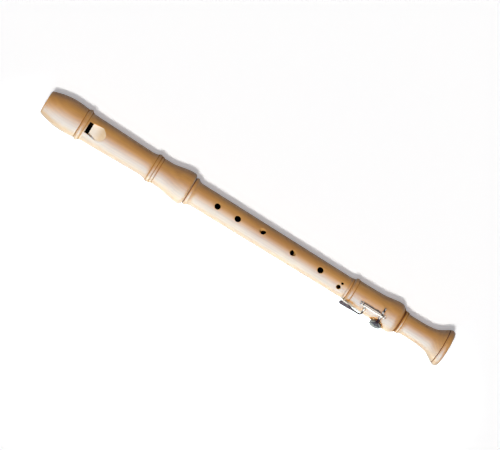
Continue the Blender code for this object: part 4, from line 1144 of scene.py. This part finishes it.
# The touch arm's knots: along, angle round the bore, and distance from it.
TOUCH_ARM = (
    (TOUCH_ARM_ALONG, 19.0, hinge_reach + 0.3),
    (TOUCH_ARM_ALONG, 26.0, 25.1),
    (TOUCH_ARM_ALONG, 36.0, 25.5),
    (TOUCH_ARM_ALONG, 46.0, TOUCH_RADIUS),
    (TOUCH_ARM_ALONG - 0.7, 54.5, TOUCH_RADIUS),
    (TOUCH_ARM_ALONG - 3.6, TOUCH_ROOT[0] - 0.3, TOUCH_RADIUS),
    (TOUCH_ARM_ALONG - 6.5, TOUCH_ROOT[0], TOUCH_RADIUS),
)
places = [round_bore(*place) for place in threaded(TOUCH_ARM)]
thinning_from = len(places) - KNOT_STEPS
spine = []
for count, place in enumerate(places):
    heading = (places[min(count + 1, len(places) - 1)] - places[max(count - 1, 0)]).normalized()
    outward = Vector((0, place.y, place.z)).normalized()
    radius = TOUCH_ARM_RADIUS * (1 - TOUCH_ARM_THINNING * max(0, count - thinning_from))
    spine.append((place, outward.cross(heading).normalized(), radius, radius))
touch_arm = bar("touch_lever", spine, ROUND)

rings = []
for count in range(TOUCH_STEPS + 1):
    share = (count / TOUCH_STEPS) ** TOUCH_STEP_BIAS
    from_end = share * TOUCH_LENGTH
    along = TOUCH_ARM_ALONG - TOUCH_LAP - TOUCH_LENGTH + from_end
    round_end = math.sqrt(max(0.0, 1 - max(0.0, 1 - from_end / TOUCH_ROUND_END) ** 2))
    narrowed = max(0.0, share - TOUCH_NARROWS_FROM) / (1 - TOUCH_NARROWS_FROM)
    narrow = 0.5 - 0.5 * math.cos(math.pi * narrowed)
    centre, half = (wide + (root - wide) * narrow for wide, root in zip(TOUCH_WIDE, TOUCH_ROOT))
    half *= max(round_end, TOUCH_LEAST_WIDTH)
    thick = TOUCH_THICKNESS / 2 * min(1.0, TOUCH_THIN_TIP + from_end)
    dish = TOUCH_DISH * round_end * (1 - narrow)
    outer, inner = [], []
    for side in range(TOUCH_SIDES + 1):
        across = -math.cos(math.pi * side / TOUCH_SIDES)
        edge = thick * math.sqrt(1 - across**TOUCH_EDGE_SQUARENESS) + TOUCH_EDGE_THICKNESS
        level = TOUCH_RADIUS - dish * (1 - across**2)
        angle = centre + half * across
        outer.append(round_bore(along, angle, level + edge))
        inner.append(round_bore(along, angle, level - edge))
    rings.append(outer + inner[::-1])
touch_plate = skin("touch_plate_dished", rings)

# The touch plate and its lever are painted dark below a bright upper edge: a painted dark reflection.
BRIGHT_SILVER_ABOVE = (0.65, 0.60, 0.55, 1)
PAINTED_DARK_REFLECTION = (0.034, 0.016, 0.017, 1)
DARKENED_ROUGHNESS = 0.38
PLATE_DARKENING = (44.5, 47.0)
LEVER_DARKENING = (33.0, 37.0)
CUP_SILVER = (0.145, 0.128, 0.108, 1)
CUP_SILVER_ROUGHNESS = 0.42
# Painted shade on the cup: a dark fan down from the rim under its lever.
CUP_SHADE_COLOUR = (0.018, 0.009, 0.012, 1)
CUP_SHADE_SPREAD = 0.72
CUP_SHADE_HALF = 0.0022
CUP_SHADE_EDGE = (-0.0006, 0.0010)
CUP_SHADE_END = (0.0102, 0.0082)
ARM_SILVER = (0.60, 0.58, 0.55, 1)
# Painted shade on the pad lever, over the span next to the cup.
PAD_LEVER_SHADE_COLOUR = (0.020, 0.010, 0.013, 1)
PAD_LEVER_SHADE_SPAN = (-0.0080, -0.0060)


def painted_darkening_group():
    """Silver plate with painted shade and dark reflection laid on by a mask: colour, and roughness raised
    with it.
    """
    group = bpy.data.node_groups.new("silver with painted darkening", "ShaderNodeTree")
    sockets = group.interface
    for name, kind in (
        ("Bright", "NodeSocketColor"), ("Darkened", "NodeSocketColor"), ("Mask", "NodeSocketFloat"),
        ("Bright Roughness", "NodeSocketFloat"),
    ):
        sockets.new_socket(name, in_out="INPUT", socket_type=kind)
    for name, kind in (("Colour", "NodeSocketColor"), ("Roughness", "NodeSocketFloat")):
        sockets.new_socket(name, in_out="OUTPUT", socket_type=kind)
    given = add_node(group, "NodeGroupInput")
    blur = carry(group, noise(group, surface_place(group), 220.0, 3.0), end=(-0.2, 0.2))
    mask = calculate(group, "ADD", given.outputs["Mask"], blur, use_clamp=True)
    colour = blend(group, mask, given.outputs["Bright"], given.outputs["Darkened"])
    roughness = carry(group, mask, end=(given.outputs["Bright Roughness"], DARKENED_ROUGHNESS))
    add_node(group, "NodeGroupOutput", {"Colour": colour, "Roughness": roughness})
    return group


painted_darkening = painted_darkening_group()


def painted_dark_silver(name, bright, darkened_colour, roughness=0.14):
    """A metal darkened by painted shade, with its node tree, the places in it, and the socket that takes its
    mask.
    """
    material, tree, shader = new_material(name, {"Metallic": 1.0})
    laid = add_node(
        tree, "ShaderNodeGroup", node_tree=painted_darkening,
        values={"Bright": bright, "Darkened": darkened_colour, "Bright Roughness": roughness}
    )
    tree.links.new(laid.outputs["Colour"], shader.inputs["Base Color"])
    tree.links.new(laid.outputs["Roughness"], shader.inputs["Roughness"])
    return material, tree, axes(tree, surface_place(tree)), laid.inputs["Mask"]


def dark_below(name, wear):
    """Silver plate bright up to one angle round the bore and painted dark from the next, as a dark
    reflection.
    """
    material, tree, place, mask = painted_dark_silver(name, BRIGHT_SILVER_ABOVE, PAINTED_DARK_REFLECTION)
    rise = calculate(tree, "SUBTRACT", place["Z"], bore_height)
    angle = calculate(tree, "ARCTAN2", calculate(tree, "MULTIPLY", place["Y"], -1.0), rise)
    tree.links.new(carry(tree, angle, [math.radians(limit) for limit in wear]), mask)
    return material


# Painted dark reflection on the touch plate and the touch lever.
plate_silver_dark_below = dark_below("silver plate of the touch plate, painted dark below", PLATE_DARKENING)
lever_silver_dark_below = dark_below("silver plate of the touch lever", LEVER_DARKENING)
fit_key_work(touch_plate, "touch_plate", "key", plate_silver_dark_below, 50)
fit_key_work(touch_arm, "touch_arm", "key", lever_silver_dark_below, 50)

cup_axis = (from_cup(0, 1) - from_cup(0, 0)).normalized()
inside, wall = CUP_INSIDE
flat = CUP_RADIUS - CUP_EDGE
profile = [(CUP_APEX, AXIS_RADIUS)]
for step in range(1, CUP_STEPS + 1):
    radius = flat * step / CUP_STEPS
    profile.append((-CUP_DOME * (radius / CUP_RADIUS) ** 2, radius))
edge = profile[-1][0]
for step in range(1, CUP_EDGE_STEPS + 1):
    bend = math.pi / 2 * step / CUP_EDGE_STEPS
    profile.append((edge - CUP_EDGE * (1 - math.cos(bend)), flat + CUP_EDGE * math.sin(bend)))
profile += [
    (-CUP_DEPTH, CUP_RADIUS), (-CUP_DEPTH, inside), (-wall - CUP_FILLET, inside),
    (-wall, inside - CUP_FILLET), (-wall, AXIS_RADIUS),
]
cup = turned_about("pad_cup_domed", profile, from_cup(0, 0), cup_axis, sides=96)
lever_root = Vector(to_metres(from_cup(9, 0)))
towards = (from_cup(-1, 0) - from_cup(0, 0)).normalized()


def from_lever_root(tree, place):
    """How far a place lies down the cup from the rim under its lever."""
    flat = add_node(tree, "ShaderNodeCombineXYZ", {"Y": place["Y"], "Z": place["Z"]})
    shifted = add_node(
        tree, "ShaderNodeVectorMath", {0: flat.outputs[0], 1: (0, -lever_root.y, -lever_root.z)},
        operation="ADD",
    )
    down = add_node(
        tree, "ShaderNodeVectorMath", {0: shifted.outputs[0], 1: towards}, operation="DOT_PRODUCT"
    )
    return down.outputs["Value"]


# Painted shade: the cup goes dark in a fan below its lever.
cup_silver_shaded, tree, place, mask = painted_dark_silver(
    "silver plate of the cup with painted shade", CUP_SILVER, CUP_SHADE_COLOUR, CUP_SILVER_ROUGHNESS
)
down = from_lever_root(tree, place)
beside = calculate(tree, "ABSOLUTE", calculate(tree, "SUBTRACT", place["X"], lever_root.x))
reach = calculate(tree, "MULTIPLY_ADD", down, CUP_SHADE_SPREAD, CUP_SHADE_HALF)
within = carry(tree, calculate(tree, "SUBTRACT", reach, beside), CUP_SHADE_EDGE)
tree.links.new(calculate(tree, "MULTIPLY", within, carry(tree, down, CUP_SHADE_END)), mask)
fit_key_work(cup, "pad_cup", "key", cup_silver_shaded)

# Painted shade: the pad lever goes dark near the cup.
pad_lever_silver_shaded, tree, place, mask = painted_dark_silver("silver plate of the pad lever", ARM_SILVER, PAD_LEVER_SHADE_COLOUR)
tree.links.new(carry(tree, from_lever_root(tree, place), PAD_LEVER_SHADE_SPAN), mask)
fit_key_work(pad_arm, "pad_arm", "key", pad_lever_silver_shaded, 50)

catch_along = middle_of("spring_catch")
spine = [
    (Vector((catch_along, hinge_across + across, hinge_up + up)), bore_line, half, thick)
    for across, up, half, thick in CATCH
]
catch = bar("spring_catch_filed", spine, CATCH_BOXINESS)
fit_key_work(catch, "spring_catch", "key", silver, 50)


# Pad
# A disc of felt covered in tan kid leather, on a disc of card. Both are glued into the cup, and the leather
# closes on the raised seat round the key hole.
LEATHER_DARK = (0.50, 0.36, 0.22, 1)
LEATHER_PALE = (0.74, 0.60, 0.42, 1)

leather, tree, shader = new_material("pad leather", {"Roughness": 0.7})
pores = noise(tree, surface_place(tree), 1200.0)
tone = add_node(tree, "ShaderNodeValToRGB", {"Fac": pores})
tone.color_ramp.elements[0].color = LEATHER_DARK
tone.color_ramp.elements[1].color = LEATHER_PALE
tree.links.new(tone.outputs["Color"], shader.inputs["Base Color"])
for node in ("key_pad", "pad_backing"):
    dress(node, leather)
